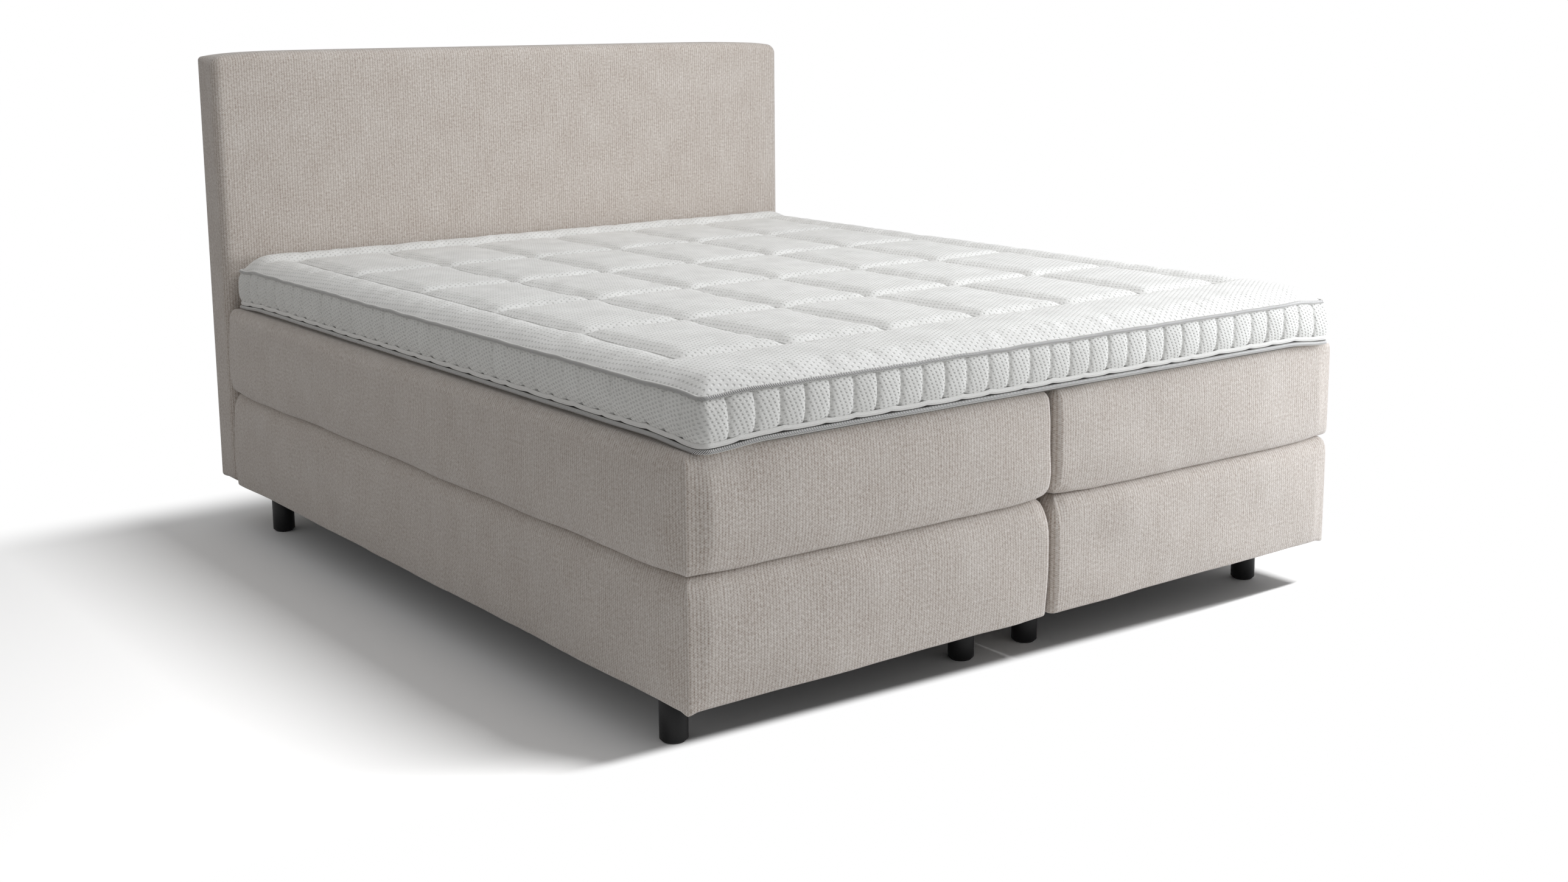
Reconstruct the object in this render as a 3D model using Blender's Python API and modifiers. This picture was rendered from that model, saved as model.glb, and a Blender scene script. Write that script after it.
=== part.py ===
"""Box spring bed: two sprung bases on legs, two mattresses, one quilted topper and a padded headboard.

Metres, +Z up, the head of the bed at +Y. The origin is on the floor under the middle of the bed.
Every piece is one named object. Pieces that touch keep the seat gap between them.
"""
import math

import bmesh
import bpy
from mathutils import Vector

# The bed as a whole, measured over the bases
bed_length = 2.100
bed_width = 1.800
split_gap = 0.010
seat_gap = 0.0003
cut_overrun = 0.002

# Heights above the floor where one layer meets the next
base_underside = 0.118
base_height = 0.2485
mattress_height = 0.2215

# Legs: black moulded cylinders with an M8 stud
leg_diameter = 0.0555
leg_edge = 0.003
stud_diameter = 0.008
stud_length = 0.030
stud_clearance = 0.0005
leg_side_inset = 0.0806
leg_split_inset = 0.0875
leg_foot_inset = 0.1663
leg_head_inset = 0.0917

# Upholstery of the bases and the mattresses
cover_wall = 0.0025
cover_radius = 0.012
cover_turn_in = 0.025
foam_ease = 0.0012
base_swell = 0.004
mattress_swell = 0.006
split_swell_share = 0.28

# Inside a base
dust_cloth_thickness = 0.0008
pad_side = 0.012
pad_top = 0.025
pad_foot_clearance = 0.008
rail_thickness = 0.022
rail_height = 0.110
block_margin = 0.040
deck_thickness = 0.006
pocket_pitch = 0.070
pocket_depth = 0.010

# The strap that links the two bases
link_length = 0.180
link_width = 0.040
link_thickness = 0.003
link_corner = 0.0196

# Inside a mattress
foam_wall = 0.055
foam_top = 0.035
foam_bottom = 0.025

# Topper, measured along the cord that runs round its edges
topper_side_inset = 0.026
topper_overhang = 0.018
topper_head_clearance = 0.001
topper_corner = 0.022
cord_diameter = 0.009
topper_cord_rise = 0.0997
panel_thickness = 0.002
core_inset = 0.0125

# Quilted top panel: sewn cells inside a plain margin
quilt_margin_side = 0.112
quilt_margin_foot = 0.226
quilt_margin_head = 0.108
panel_edge = 0.007
panel_crown = 0.013
quilt_rise = 0.008

# Channelled border of the topper
border_underside = 0.019
border_stand_out = 0.001
channel_pitch = 0.056
channel_depth = 0.005
border_draw_in = 0.003

# Zip under the border: the chain hangs from its tape, and the slider grips the chain
chain_inset = 0.0075
chain_height = 0.0044
chain_thickness = 0.0022
tape_thickness = 0.0008
chain_rise = 0.0112
chain_end_inset = 0.060
stop_length = 0.003
slider_clearance = 0.00035
slider_wall = 0.0009
slider_length = 0.012
slider_stop_gap = 0.0006
ear_thickness = 0.0009
ear_gap = 0.0030
pin_diameter = 0.0014
eye_clearance = 0.00025
eye_wall = 0.0007
pull_side_clearance = 0.0003
pull_length = 0.020
pull_thickness = 0.0012

# Headboard
headboard_overhang = 0.0015
headboard_underside = 0.1205
headboard_top = 1.234
headboard_depth = 0.109
headboard_gap = 0.010
headboard_radius = 0.026
headboard_turn_in = 0.035
headboard_pad_front = 0.030
headboard_pad_side = 0.016
headboard_board = 0.012
stile_width = 0.070
bracket_width = 0.060
bracket_height = 0.100
bracket_rise = 0.045
bracket_side_inset = 0.330

# Counts and shares
leg_steps = 20
hole_sides = 12
round_segments = 2
headboard_segments = 4
corner_steps = 4
cell_columns = 6
cell_rows = 5
cell_shares = (0.16, 0.5, 0.84)
margin_shares = (0.15, 0.5, 0.79)
swell_power = 6
upright_power = 4
quilt_power = 0.55
crown_power = 3
arc_middle_share = 1 - math.sqrt(0.5)
on_face_share = 0.999
weld_share = 0.1
back_edge_share = 0.25
width_cut_share = 0.45
length_cut_share = 0.62
height_cut_share = 0.6
border_rows_shares = (0.0, 0.5, 1.0)
smooth_degrees = 35
quilt_smooth_degrees = 60
bevel_degrees = 40

# Places that follow from the sizes above
whole_length = topper_overhang + bed_length + headboard_gap + headboard_depth
foot_y = topper_overhang - whole_length / 2
head_y = foot_y + bed_length
mid_y = (foot_y + head_y) / 2
box_width = (bed_width - split_gap) / 2
box_x = (box_width + split_gap) / 2
base_top = base_underside + base_height
rail_bottom = base_underside + cover_wall + seat_gap
leg_height = rail_bottom - dust_cloth_thickness - 2 * seat_gap
frame_inset = cover_wall + foam_ease + pad_side + seat_gap
mattress_bottom = base_top + seat_gap
mattress_top = mattress_bottom + mattress_height
topper_bottom = mattress_top + seat_gap
cord_radius = cord_diameter / 2
topper_half_width = bed_width / 2 - topper_side_inset
topper_foot_y = foot_y - topper_overhang + cord_radius
topper_head_y = head_y - topper_head_clearance - cord_radius
topper_half_length = (topper_head_y - topper_foot_y) / 2
topper_mid_y = (topper_head_y + topper_foot_y) / 2
top_cord_z = topper_bottom + cord_radius + topper_cord_rise
border_bottom = topper_bottom + border_underside
border_top = top_cord_z - cord_radius - seat_gap
panel_bottom = border_top + 2 * seat_gap
headboard_width = bed_width + 2 * headboard_overhang
weld_distance = seat_gap * weld_share


def clear_scene():
    """Starts from an empty scene."""
    for old in list(bpy.data.objects):
        bpy.data.objects.remove(old, do_unlink=True)


def new_collection(name):
    made = bpy.data.collections.new(name)
    bpy.context.scene.collection.children.link(made)
    return made


def new_material(name, colour, roughness, metallic=0.0):
    """A plain Principled material in the piece's own colour."""
    made = bpy.data.materials.new(name)
    made.use_nodes = True
    shader = made.node_tree.nodes["Principled BSDF"]
    shader.inputs["Base Color"].default_value = (*colour, 1.0)
    shader.inputs["Roughness"].default_value = roughness
    shader.inputs["Metallic"].default_value = metallic
    return made


def add_object(name, data, place, material):
    """Puts a mesh or curve into the bed's collection at its place."""
    made = bpy.data.objects.new(name, data)
    made.location = place
    bed.objects.link(made)
    if material:
        data.materials.append(material)
    return made


def as_cutter(piece):
    """Moves a piece to the collection of cutters, which are never seen."""
    for holder in list(piece.users_collection):
        holder.objects.unlink(piece)
    cutters.objects.link(piece)
    piece.hide_render = True
    piece.display_type = "WIRE"
    return piece


def mesh_from(bm, name):
    data = bpy.data.meshes.new(name)
    bm.to_mesh(data)
    bm.free()
    return data


def smooth(piece, degrees=smooth_degrees):
    """Round pieces are shaded smooth, with their sharp edges kept."""
    piece.data.shade_smooth()
    piece.data.set_sharp_from_angle(angle=math.radians(degrees))


def block(name, low, high, material=None):
    """A box between two corners, with its origin at its middle."""
    bm = bmesh.new()
    bmesh.ops.create_cube(bm, size=1)
    size = [h - l for l, h in zip(low, high)]
    bmesh.ops.scale(bm, vec=size, verts=bm.verts)
    place = [(l + h) / 2 for l, h in zip(low, high)]
    return add_object(name, mesh_from(bm, name), place, material)


def round_edges(piece, radius, segments=None):
    """A bevel on every edge of a plain box."""
    bevel = piece.modifiers.new("rounded_edges", "BEVEL")
    bevel.width = radius
    bevel.segments = segments or round_segments
    bevel.limit_method = "ANGLE"
    bevel.angle_limit = math.radians(bevel_degrees)


def combine(piece, other, operation):
    """Cuts with, or joins on, another mesh object."""
    step = piece.modifiers.new(other.name, "BOOLEAN")
    step.operation = operation
    step.object = as_cutter(other)
    step.solver = "EXACT"


def outline_solid(name, outlines, thickness, place, material, rotation=None):
    """A flat outline, with any holes, made a solid of one thickness about its own plane."""
    curve = bpy.data.curves.new(name, "CURVE")
    curve.dimensions = "2D"
    curve.fill_mode = "BOTH"
    curve.extrude = thickness / 2
    for outline in outlines:
        spline = curve.splines.new("POLY")
        spline.points.add(len(outline) - 1)
        for point, (u, v) in zip(spline.points, outline):
            point.co = (u, v, 0, 1)
        spline.use_cyclic_u = True
    drawn = add_object(name + "_outline", curve, (0, 0, 0), None)
    bpy.context.view_layer.update()
    depsgraph = bpy.context.evaluated_depsgraph_get()
    data = bpy.data.meshes.new_from_object(drawn.evaluated_get(depsgraph))
    bpy.data.objects.remove(drawn, do_unlink=True)
    bm = bmesh.new()
    bm.from_mesh(data)
    bmesh.ops.remove_doubles(bm, verts=bm.verts, dist=weld_distance)
    bmesh.ops.recalc_face_normals(bm, faces=bm.faces)
    bm.to_mesh(data)
    bm.free()
    data.name = name
    made = add_object(name, data, place, material)
    if rotation:
        made.rotation_euler = rotation
    return made


def cylinder(name, radius, low, high, sides):
    """An upright cylinder between two points on its axis."""
    bm = bmesh.new()
    height = high[2] - low[2]
    bmesh.ops.create_cone(
        bm, cap_ends=True, segments=sides, radius1=radius, radius2=radius, depth=height
    )
    place = (low[0], low[1], (low[2] + high[2]) / 2)
    return add_object(name, mesh_from(bm, name), place, None)


def rectangle(half_width, half_length):
    return [
        (-half_width, -half_length),
        (half_width, -half_length),
        (half_width, half_length),
        (-half_width, half_length),
    ]


def circle(radius, sides, x=0, y=0):
    turns = [2 * math.pi * side / sides for side in range(sides)]
    return [(x + radius * math.cos(turn), y + radius * math.sin(turn)) for turn in turns]


def rounded_rectangle(half_width, half_length, radius, steps):
    """Corner points of a rectangle with rounded corners, anticlockwise."""
    points = []
    for turn, (sx, sy) in enumerate(((1, -1), (1, 1), (-1, 1), (-1, -1))):
        for step in range(steps + 1):
            angle = (turn - 1 + step / steps) * math.pi / 2
            x = sx * (half_width - radius) + radius * math.cos(angle)
            y = sy * (half_length - radius) + radius * math.sin(angle)
            points.append((x, y))
    return points


def pocket_outline(width, length):
    """The outside of a block of sewn pockets: a shallow round for each pocket in the row."""
    points = []
    sides = (
        (Vector((-1, -1)), Vector((1, 0)), Vector((0, 1)), width),
        (Vector((1, -1)), Vector((0, 1)), Vector((-1, 0)), length),
        (Vector((1, 1)), Vector((-1, 0)), Vector((0, -1)), width),
        (Vector((-1, 1)), Vector((0, -1)), Vector((1, 0)), length),
    )
    for corner, along, inward, run in sides:
        start = Vector((corner.x * width / 2, corner.y * length / 2))
        count = max(2, round(run / pocket_pitch))
        for pocket in range(count):
            seam = start + along * (run * pocket / count)
            if pocket:
                points.append(seam + inward * pocket_depth)
            else:
                points.append(seam + (inward + along) * pocket_depth)
            points.append(start + along * (run * (pocket + 0.5) / count))
    return points


def swell(co, size, swells):
    """How far a side face stands out: most in its middle, nothing at its edges."""
    share = [2 * co[axis] / size[axis] for axis in range(3)]
    moved = Vector(co)
    for axis in (0, 1):
        if abs(share[axis]) < on_face_share:
            continue
        across = 1 - abs(share[1 - axis]) ** swell_power
        upright = 1 - share[2] ** upright_power
        amount = swells[2 * axis + (share[axis] > 0)]
        moved[axis] += math.copysign(amount, share[axis]) * across * upright
    return moved


def fabric_shell(name, size, turn_in, radius, segments, swells, material, far_edge_share=1.0):
    """A cover: a soft-edged box of cloth, open in the middle of its underside.

    The cloth turns in under the box by turn_in. swells are how far the -X, +X, -Y and +Y
    faces stand out. The edges of the open side are rounded by far_edge_share of the radius.
    """
    bm = bmesh.new()
    bmesh.ops.create_cube(bm, size=1)
    bmesh.ops.scale(bm, vec=size, verts=bm.verts)
    rims = [1 - 2 * turn_in / size[axis] for axis in (0, 1)]
    swollen = any(swells)
    cuts = [
        (-rims[0], rims[0]) + ((-width_cut_share, width_cut_share) if swollen else ()),
        (-rims[1], rims[1]) + ((-length_cut_share, 0, length_cut_share) if swollen else ()),
        (-height_cut_share, height_cut_share) if swollen else (),
    ]
    for axis, shares in enumerate(cuts):
        normal = Vector([float(axis == other) for other in range(3)])
        for share in shares:
            bmesh.ops.bisect_plane(
                bm,
                geom=bm.verts[:] + bm.edges[:] + bm.faces[:],
                plane_co=normal * share * size[axis] / 2,
                plane_no=normal,
            )
    opening = []
    for face in bm.faces:
        middle = face.calc_center_median()
        inside = all(abs(2 * middle[axis] / size[axis]) < rims[axis] for axis in (0, 1))
        if inside and face.normal.z < -0.5:
            opening.append(face)
    bmesh.ops.delete(bm, geom=opening, context="FACES")
    weights = bm.edges.layers.float.new("bevel_weight_edge")
    for edge in bm.edges:
        shares = [[2 * v.co[axis] / size[axis] for axis in range(3)] for v in edge.verts]
        on_faces = [
            (axis, side)
            for axis in range(3)
            for side in (-1, 1)
            if all(share[axis] * side > on_face_share for share in shares)
        ]
        if len(on_faces) == 2:
            edge[weights] = far_edge_share if (2, -1) in on_faces else 1.0
    for vert in bm.verts:
        vert.co = swell(vert.co, size, swells)
    made = add_object(name, mesh_from(bm, name), (0, 0, 0), material)
    bevel = made.modifiers.new("soft_edges", "BEVEL")
    bevel.limit_method = "WEIGHT"
    bevel.width = radius
    bevel.segments = segments
    wall = made.modifiers.new("cloth", "SOLIDIFY")
    wall.thickness = cover_wall
    wall.offset = -1
    wall.use_even_offset = True
    smooth(made)
    return made


def leg(name, x, y):
    """One leg turned about its own axis, with its stud standing up from the top."""
    radius = leg_diameter / 2
    stud = stud_diameter / 2
    eased = leg_edge * arc_middle_share
    profile = [
        (0, leg_height + stud_length),
        (stud, leg_height + stud_length),
        (stud, leg_height),
        (radius - leg_edge, leg_height),
        (radius, leg_height - leg_edge),
        (radius, leg_edge),
        (radius - eased, eased),
        (radius - leg_edge, 0),
        (0, 0),
    ]
    data = bpy.data.meshes.new(name)
    edges = [(i, i + 1) for i in range(len(profile) - 1)]
    data.from_pydata([(r, 0, z) for r, z in profile], edges, [])
    made = add_object(name, data, (x, y, 0), black_plastic)
    turn = made.modifiers.new("turned", "SCREW")
    turn.steps = leg_steps
    turn.render_steps = leg_steps
    turn.use_merge_vertices = True
    turn.merge_threshold = weld_distance
    turn.use_smooth_shade = False
    return made


def leg_places(side):
    """Where the four legs of one base stand, by name."""
    outer = side * (bed_width / 2 - leg_side_inset)
    inner = side * (split_gap / 2 + leg_split_inset)
    foot = foot_y + leg_foot_inset
    head = head_y - leg_head_inset
    return {
        "foot_outer": (outer, foot),
        "foot_inner": (inner, foot),
        "head_outer": (outer, head),
        "head_inner": (inner, head),
    }


def stud_holes(side, end=""):
    """Outlines of the holes for the leg studs, about the middle of a base."""
    radius = stud_diameter / 2 + stud_clearance
    holes = []
    for place, (x, y) in leg_places(side).items():
        if place.startswith(end):
            holes.append(circle(radius, hole_sides, x - side * box_x, y - mid_y))
    return holes


def end_rail(name, side, end):
    """A short rail with the two glued blocks that take the legs at that end of a base."""
    half = box_width / 2 - frame_inset
    face = bed_length / 2 - frame_inset
    inset = leg_foot_inset if end < 0 else leg_head_inset
    reach = bed_length / 2 - inset - block_margin
    inner = face - rail_thickness
    clear = half - rail_thickness - seat_gap
    widths = {
        side: box_width / 2 - leg_side_inset - block_margin,
        -side: box_width / 2 - leg_split_inset - block_margin,
    }
    outline = [
        (-half, inner),
        (-clear, inner),
        (-clear, reach),
        (-widths[-1], reach),
        (-widths[-1], inner),
        (widths[1], inner),
        (widths[1], reach),
        (clear, reach),
        (clear, inner),
        (half, inner),
        (half, face),
        (-half, face),
    ]
    outline = [(u, end * v) for u, v in outline]
    holes = stud_holes(side, "foot" if end < 0 else "head")
    place = (side * box_x, mid_y, rail_bottom + rail_height / 2)
    return outline_solid(name, [outline] + holes, rail_height, place, pine)


def base(side, word):
    """One sprung base: frame, deck, springs, pad, cover, dust cloth and legs."""
    middle = side * box_x
    half = box_width / 2 - frame_inset
    face = bed_length / 2 - frame_inset
    rail_top = rail_bottom + rail_height
    name = "base_" + word + "_"

    for place, (x, y) in leg_places(side).items():
        leg("leg_" + word + "_" + place, x, y)

    end_rail(name + "foot_rail", side, -1)
    end_rail(name + "head_rail", side, 1)
    run = face - rail_thickness - seat_gap
    for rail_side, rail_word in ((side, "outer_rail"), (-side, "inner_rail")):
        edges = sorted((middle + rail_side * half, middle + rail_side * (half - rail_thickness)))
        block(
            name + rail_word,
            (edges[0], mid_y - run, rail_bottom),
            (edges[1], mid_y + run, rail_top),
            pine,
        )

    deck_top = rail_top + seat_gap + deck_thickness
    block(
        name + "deck",
        (middle - half, mid_y - face, rail_top + seat_gap),
        (middle + half, mid_y + face, deck_top),
        plywood,
    )

    pad_high = base_top - cover_wall - seat_gap
    core_low = deck_top + seat_gap
    core_high = pad_high - pad_top - seat_gap
    outline_solid(
        name + "spring_core",
        [pocket_outline(2 * half, 2 * face)],
        core_high - core_low,
        (middle, mid_y, (core_low + core_high) / 2),
        pocket_cloth,
    )

    reach_x = box_width / 2 - cover_wall - foam_ease
    reach_y = bed_length / 2 - cover_wall - foam_ease
    pad = block(
        name + "top_pad",
        (middle - reach_x, mid_y - reach_y, rail_bottom + pad_foot_clearance),
        (middle + reach_x, mid_y + reach_y, pad_high),
        foam,
    )
    round_edges(pad, cover_radius)
    hollow = block(
        name + "pad_hollow",
        (middle - half - seat_gap, mid_y - face - seat_gap, rail_bottom - cut_overrun),
        (middle + half + seat_gap, mid_y + face + seat_gap, pad_high - pad_top),
    )
    combine(pad, hollow, "DIFFERENCE")

    between = split_gap * split_swell_share
    sides = (base_swell, between) if side < 0 else (between, base_swell)
    cover = fabric_shell(
        name + "cover",
        (box_width, bed_length, base_height),
        cover_turn_in,
        cover_radius,
        round_segments,
        (*sides, base_swell, 0),
        upholstery,
    )
    cover.location = (middle, mid_y, base_underside + base_height / 2)

    cloth_bottom = leg_height + seat_gap
    cloth = rectangle(
        box_width / 2 - cover_turn_in - seat_gap, bed_length / 2 - cover_turn_in - seat_gap
    )
    outline_solid(
        name + "dust_cloth",
        [cloth] + stud_holes(side),
        dust_cloth_thickness,
        (middle, mid_y, cloth_bottom + dust_cloth_thickness / 2),
        black_cloth,
    )


def base_link():
    """The flat steel strap under the split, with round ends."""
    outline = rounded_rectangle(link_length / 2, link_width / 2, link_corner, corner_steps)
    top = base_underside - seat_gap
    outline_solid("base_link", [outline], link_thickness, (0, mid_y, top - link_thickness / 2), steel)


def mattress(side, word):
    """One pocket spring mattress: core, foam walls, comfort layers, cover and underside."""
    middle = side * box_x
    name = "mattress_" + word + "_"
    reach_x = box_width / 2 - cover_wall - foam_ease
    reach_y = bed_length / 2 - cover_wall - foam_ease
    low = mattress_bottom + cover_wall + seat_gap
    high = mattress_top - cover_wall - seat_gap

    under = block(
        name + "bottom_foam",
        (middle - reach_x, mid_y - reach_y, low),
        (middle + reach_x, mid_y + reach_y, low + foam_bottom),
        foam,
    )
    round_edges(under, cover_radius)
    over = block(
        name + "top_foam",
        (middle - reach_x, mid_y - reach_y, high - foam_top),
        (middle + reach_x, mid_y + reach_y, high),
        foam,
    )
    round_edges(over, cover_radius)

    core_low = low + foam_bottom + seat_gap
    core_high = high - foam_top - seat_gap
    height = core_high - core_low
    place = (middle, mid_y, (core_low + core_high) / 2)
    hole_x = reach_x - foam_wall
    hole_y = reach_y - foam_wall
    outer = rounded_rectangle(reach_x, reach_y, cover_radius, round_segments)
    inner = rectangle(hole_x, hole_y)
    outline_solid(name + "foam_box", [outer, inner], height, place, foam)
    pockets = pocket_outline(2 * (hole_x - seat_gap), 2 * (hole_y - seat_gap))
    outline_solid(name + "pocket_core", [pockets], height, place, pocket_cloth)

    between = split_gap * split_swell_share
    sides = (mattress_swell, between) if side < 0 else (between, mattress_swell)
    cover = fabric_shell(
        name + "cover",
        (box_width, bed_length, mattress_height),
        cover_turn_in,
        cover_radius,
        round_segments,
        (*sides, mattress_swell, 0),
        upholstery,
    )
    cover.location = (middle, mid_y, mattress_bottom + mattress_height / 2)
    panel_x = box_width / 2 - cover_turn_in - seat_gap
    panel_y = bed_length / 2 - cover_turn_in - seat_gap
    block(
        name + "bottom_panel",
        (middle - panel_x, mid_y - panel_y, mattress_bottom),
        (middle + panel_x, mid_y + panel_y, mattress_bottom + cover_wall),
        knit,
    )


def edge_cord(name, z):
    """The cord sewn round one edge of the topper."""
    curve = bpy.data.curves.new(name, "CURVE")
    curve.dimensions = "3D"
    curve.bevel_depth = cord_radius
    curve.bevel_resolution = 2
    route = rounded_rectangle(topper_half_width, topper_half_length, topper_corner, corner_steps)
    spline = curve.splines.new("POLY")
    spline.points.add(len(route) - 1)
    for point, (x, y) in zip(spline.points, route):
        point.co = (x, y, 0, 1)
    spline.use_cyclic_u = True
    return add_object(name, curve, (0, topper_mid_y, z), cord)


def stitch_lines(half, low_margin, high_margin, cells):
    """Places of the grid lines across the panel, and each line's share of its cell.

    A line in the low margin has a share from -1 at the edge to 0 at the first seam, and one
    in the high margin from 0 to 1 with the last cell's number added.
    """
    first = -half + low_margin
    last = half - high_margin
    pitch = (last - first) / cells
    lines = [(-half, -1.0)]
    lines += [(first - low_margin * share, -share) for share in reversed(margin_shares)]
    for cell in range(cells):
        lines.append((first + pitch * cell, float(cell)))
        lines += [(first + pitch * (cell + share), cell + share) for share in cell_shares]
    lines.append((last, float(cells)))
    lines += [(last + high_margin * share, cells + share) for share in margin_shares]
    lines.append((half, cells + 1.0))
    return lines


def quilt_height(u, v):
    """Height of the quilted top over its edge, from the shares of its two grid lines."""
    beyond = max(-u, u - cell_columns, -v, v - cell_rows, 0.0)
    if beyond:
        pillow = math.sin(math.pi * min(beyond, 1.0)) ** quilt_power
        return panel_crown * (1 - beyond**crown_power) + quilt_rise * pillow
    across = abs(math.sin(math.pi * u))
    along = abs(math.sin(math.pi * v))
    return panel_crown + quilt_rise * (across * along) ** quilt_power


def quilted_panel():
    """The top of the topper's cover: sewn cells that stand up between their seams."""
    half_x = topper_half_width - cord_radius - seat_gap
    half_y = topper_half_length - cord_radius - seat_gap
    across = stitch_lines(half_x, quilt_margin_side, quilt_margin_side, cell_columns)
    along = stitch_lines(half_y, quilt_margin_foot, quilt_margin_head, cell_rows)
    columns = len(across) - 1
    rows = len(along) - 1
    bm = bmesh.new()
    bmesh.ops.create_grid(bm, x_segments=columns, y_segments=rows, size=0.5)
    corner_pull = (topper_corner - cord_radius - seat_gap) * arc_middle_share
    for vert in bm.verts:
        x, u = across[round((vert.co.x + 0.5) * columns)]
        y, v = along[round((vert.co.y + 0.5) * rows)]
        if abs(x) == half_x and abs(y) == half_y:
            x -= math.copysign(corner_pull, x)
            y -= math.copysign(corner_pull, y)
        vert.co = (x, y, panel_edge + quilt_height(u, v))
    rim = [edge for edge in bm.edges if edge.is_boundary]
    grown = bmesh.ops.extrude_edge_only(bm, edges=rim)["geom"]
    for vert in grown:
        if isinstance(vert, bmesh.types.BMVert):
            vert.co.z = 0
    rim = [edge for edge in bm.edges if edge.is_boundary]
    bmesh.ops.holes_fill(bm, edges=rim, sides=0)
    bmesh.ops.recalc_face_normals(bm, faces=bm.faces)
    made = add_object(
        "topper_top_panel", mesh_from(bm, "topper_top_panel"), (0, topper_mid_y, panel_bottom), knit
    )
    smooth(made, quilt_smooth_degrees)
    return made


def rounded_walk(half_width, half_length, radius, distance):
    """The point at a distance along a rounded rectangle, and which way is out there."""
    straight_x = 2 * (half_width - radius)
    straight_y = 2 * (half_length - radius)
    quarter = radius * math.pi / 2
    left = distance
    for turn in range(4):
        run = straight_y if turn % 2 == 0 else straight_x
        angle = turn * math.pi / 2
        out = Vector((math.cos(angle), math.sin(angle)))
        along = Vector((-out.y, out.x))
        reach = half_width if turn % 2 == 0 else half_length
        if left <= run:
            return out * reach + along * (left - run / 2), out
        left -= run
        if left <= quarter:
            bend = angle + left / radius
            direction = Vector((math.cos(bend), math.sin(bend)))
            centre = out * (reach - radius) + along * (run / 2)
            return centre + direction * radius, direction
        left -= quarter
    return rounded_walk(half_width, half_length, radius, 0)


def topper_border():
    """The border of the topper's cover: upright channels between sewn seams, drawn in at its edges."""
    half_x = topper_half_width + border_stand_out
    half_y = topper_half_length + border_stand_out
    radius = topper_corner + border_stand_out
    girth = 4 * (half_x + half_y - 2 * radius) + 2 * math.pi * radius
    channels = round(girth / channel_pitch)
    height = border_top - border_bottom
    bm = bmesh.new()
    rings = []
    for row in border_rows_shares:
        draw = border_draw_in * abs(2 * row - 1)
        ring = []
        for step in range(2 * channels):
            place, out = rounded_walk(half_x, half_y, radius, girth * step / (2 * channels))
            depth = draw + (channel_depth if step % 2 == 0 else 0)
            place = place - out * depth
            ring.append(bm.verts.new((place.x, place.y, height * row)))
        rings.append(ring)
    for low, high in zip(rings, rings[1:]):
        for step in range(len(low)):
            bm.faces.new((low[step - 1], low[step], high[step], high[step - 1]))
    bm.faces.new(rings[0])
    bm.faces.new(rings[-1])
    bmesh.ops.recalc_face_normals(bm, faces=bm.faces)
    place = (0, topper_mid_y, border_bottom)
    made = add_object("topper_border", mesh_from(bm, "topper_border"), place, knit)
    smooth(made, quilt_smooth_degrees)
    hole = block(
        "topper_border_hole",
        (
            -topper_half_width + core_inset - seat_gap,
            topper_mid_y - topper_half_length + core_inset - seat_gap,
            border_bottom - cut_overrun,
        ),
        (
            topper_half_width - core_inset + seat_gap,
            topper_mid_y + topper_half_length - core_inset + seat_gap,
            border_top + cut_overrun,
        ),
    )
    combine(made, hole, "DIFFERENCE")
    return made


def topper():
    """The topper's core, the sheets of its cover and the cords along its edges."""
    half_x = topper_half_width - core_inset
    half_y = topper_half_length - core_inset
    core_low = topper_bottom + panel_thickness + seat_gap
    pieces = [
        block(
            "topper_core",
            (-half_x, topper_mid_y - half_y, core_low),
            (half_x, topper_mid_y + half_y, panel_bottom - seat_gap),
            foam,
        )
    ]
    inset = cord_radius + seat_gap
    outline = rounded_rectangle(
        topper_half_width - inset, topper_half_length - inset, topper_corner - inset, corner_steps
    )
    sheet_place = (0, topper_mid_y, topper_bottom + panel_thickness / 2)
    pieces.append(outline_solid("topper_bottom_panel", [outline], panel_thickness, sheet_place, knit))
    pieces.append(quilted_panel())
    pieces.append(topper_border())
    pieces.append(edge_cord("topper_top_piping", top_cord_z))
    pieces.append(edge_cord("topper_bottom_piping", topper_bottom + cord_radius))
    return pieces


chain_x = topper_half_width - chain_inset
chain_z = topper_bottom + chain_rise + chain_height / 2
chain_foot_y = topper_foot_y + chain_end_inset
chain_head_y = topper_head_y - chain_end_inset
slider_y = chain_head_y - stop_length - slider_stop_gap - slider_length / 2
slider_half_thickness = chain_thickness / 2 + slider_clearance + slider_wall
slider_half_height = chain_height / 2 + slider_clearance + slider_wall
eye_radius = pin_diameter / 2 + eye_clearance + eye_wall
pin_x = chain_x + slider_half_thickness + eye_radius + seat_gap
zip_travel = chain_head_y - chain_foot_y - 2 * (stop_length + slider_stop_gap) - slider_length
on_edge = (math.pi / 2, 0, 0)


def zip_chain():
    """The closed chain under its tape, with a stop at each end that the slider cannot pass."""
    bead_x = chain_thickness / 2
    bead_z = chain_height / 2
    tape = tape_thickness / 2
    tape_top = border_bottom - seat_gap - chain_z
    outline = [
        (-bead_x, -bead_z),
        (bead_x, -bead_z),
        (bead_x, bead_z),
        (tape, bead_z),
        (tape, tape_top),
        (-tape, tape_top),
        (-tape, bead_z),
        (-bead_x, bead_z),
    ]
    middle = (chain_x, (chain_foot_y + chain_head_y) / 2, chain_z)
    length = chain_head_y - chain_foot_y
    made = outline_solid("topper_zip_chain", [outline], length, middle, zip_tape, on_edge)
    for word, y in (("foot", chain_foot_y), ("head", chain_head_y - stop_length)):
        stop = block(
            "topper_zip_stop_" + word,
            (chain_x - slider_half_thickness, y, chain_z - slider_half_height),
            (chain_x + slider_half_thickness, y + stop_length, chain_z + slider_half_height),
        )
        combine(made, stop, "UNION")
    return made


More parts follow.
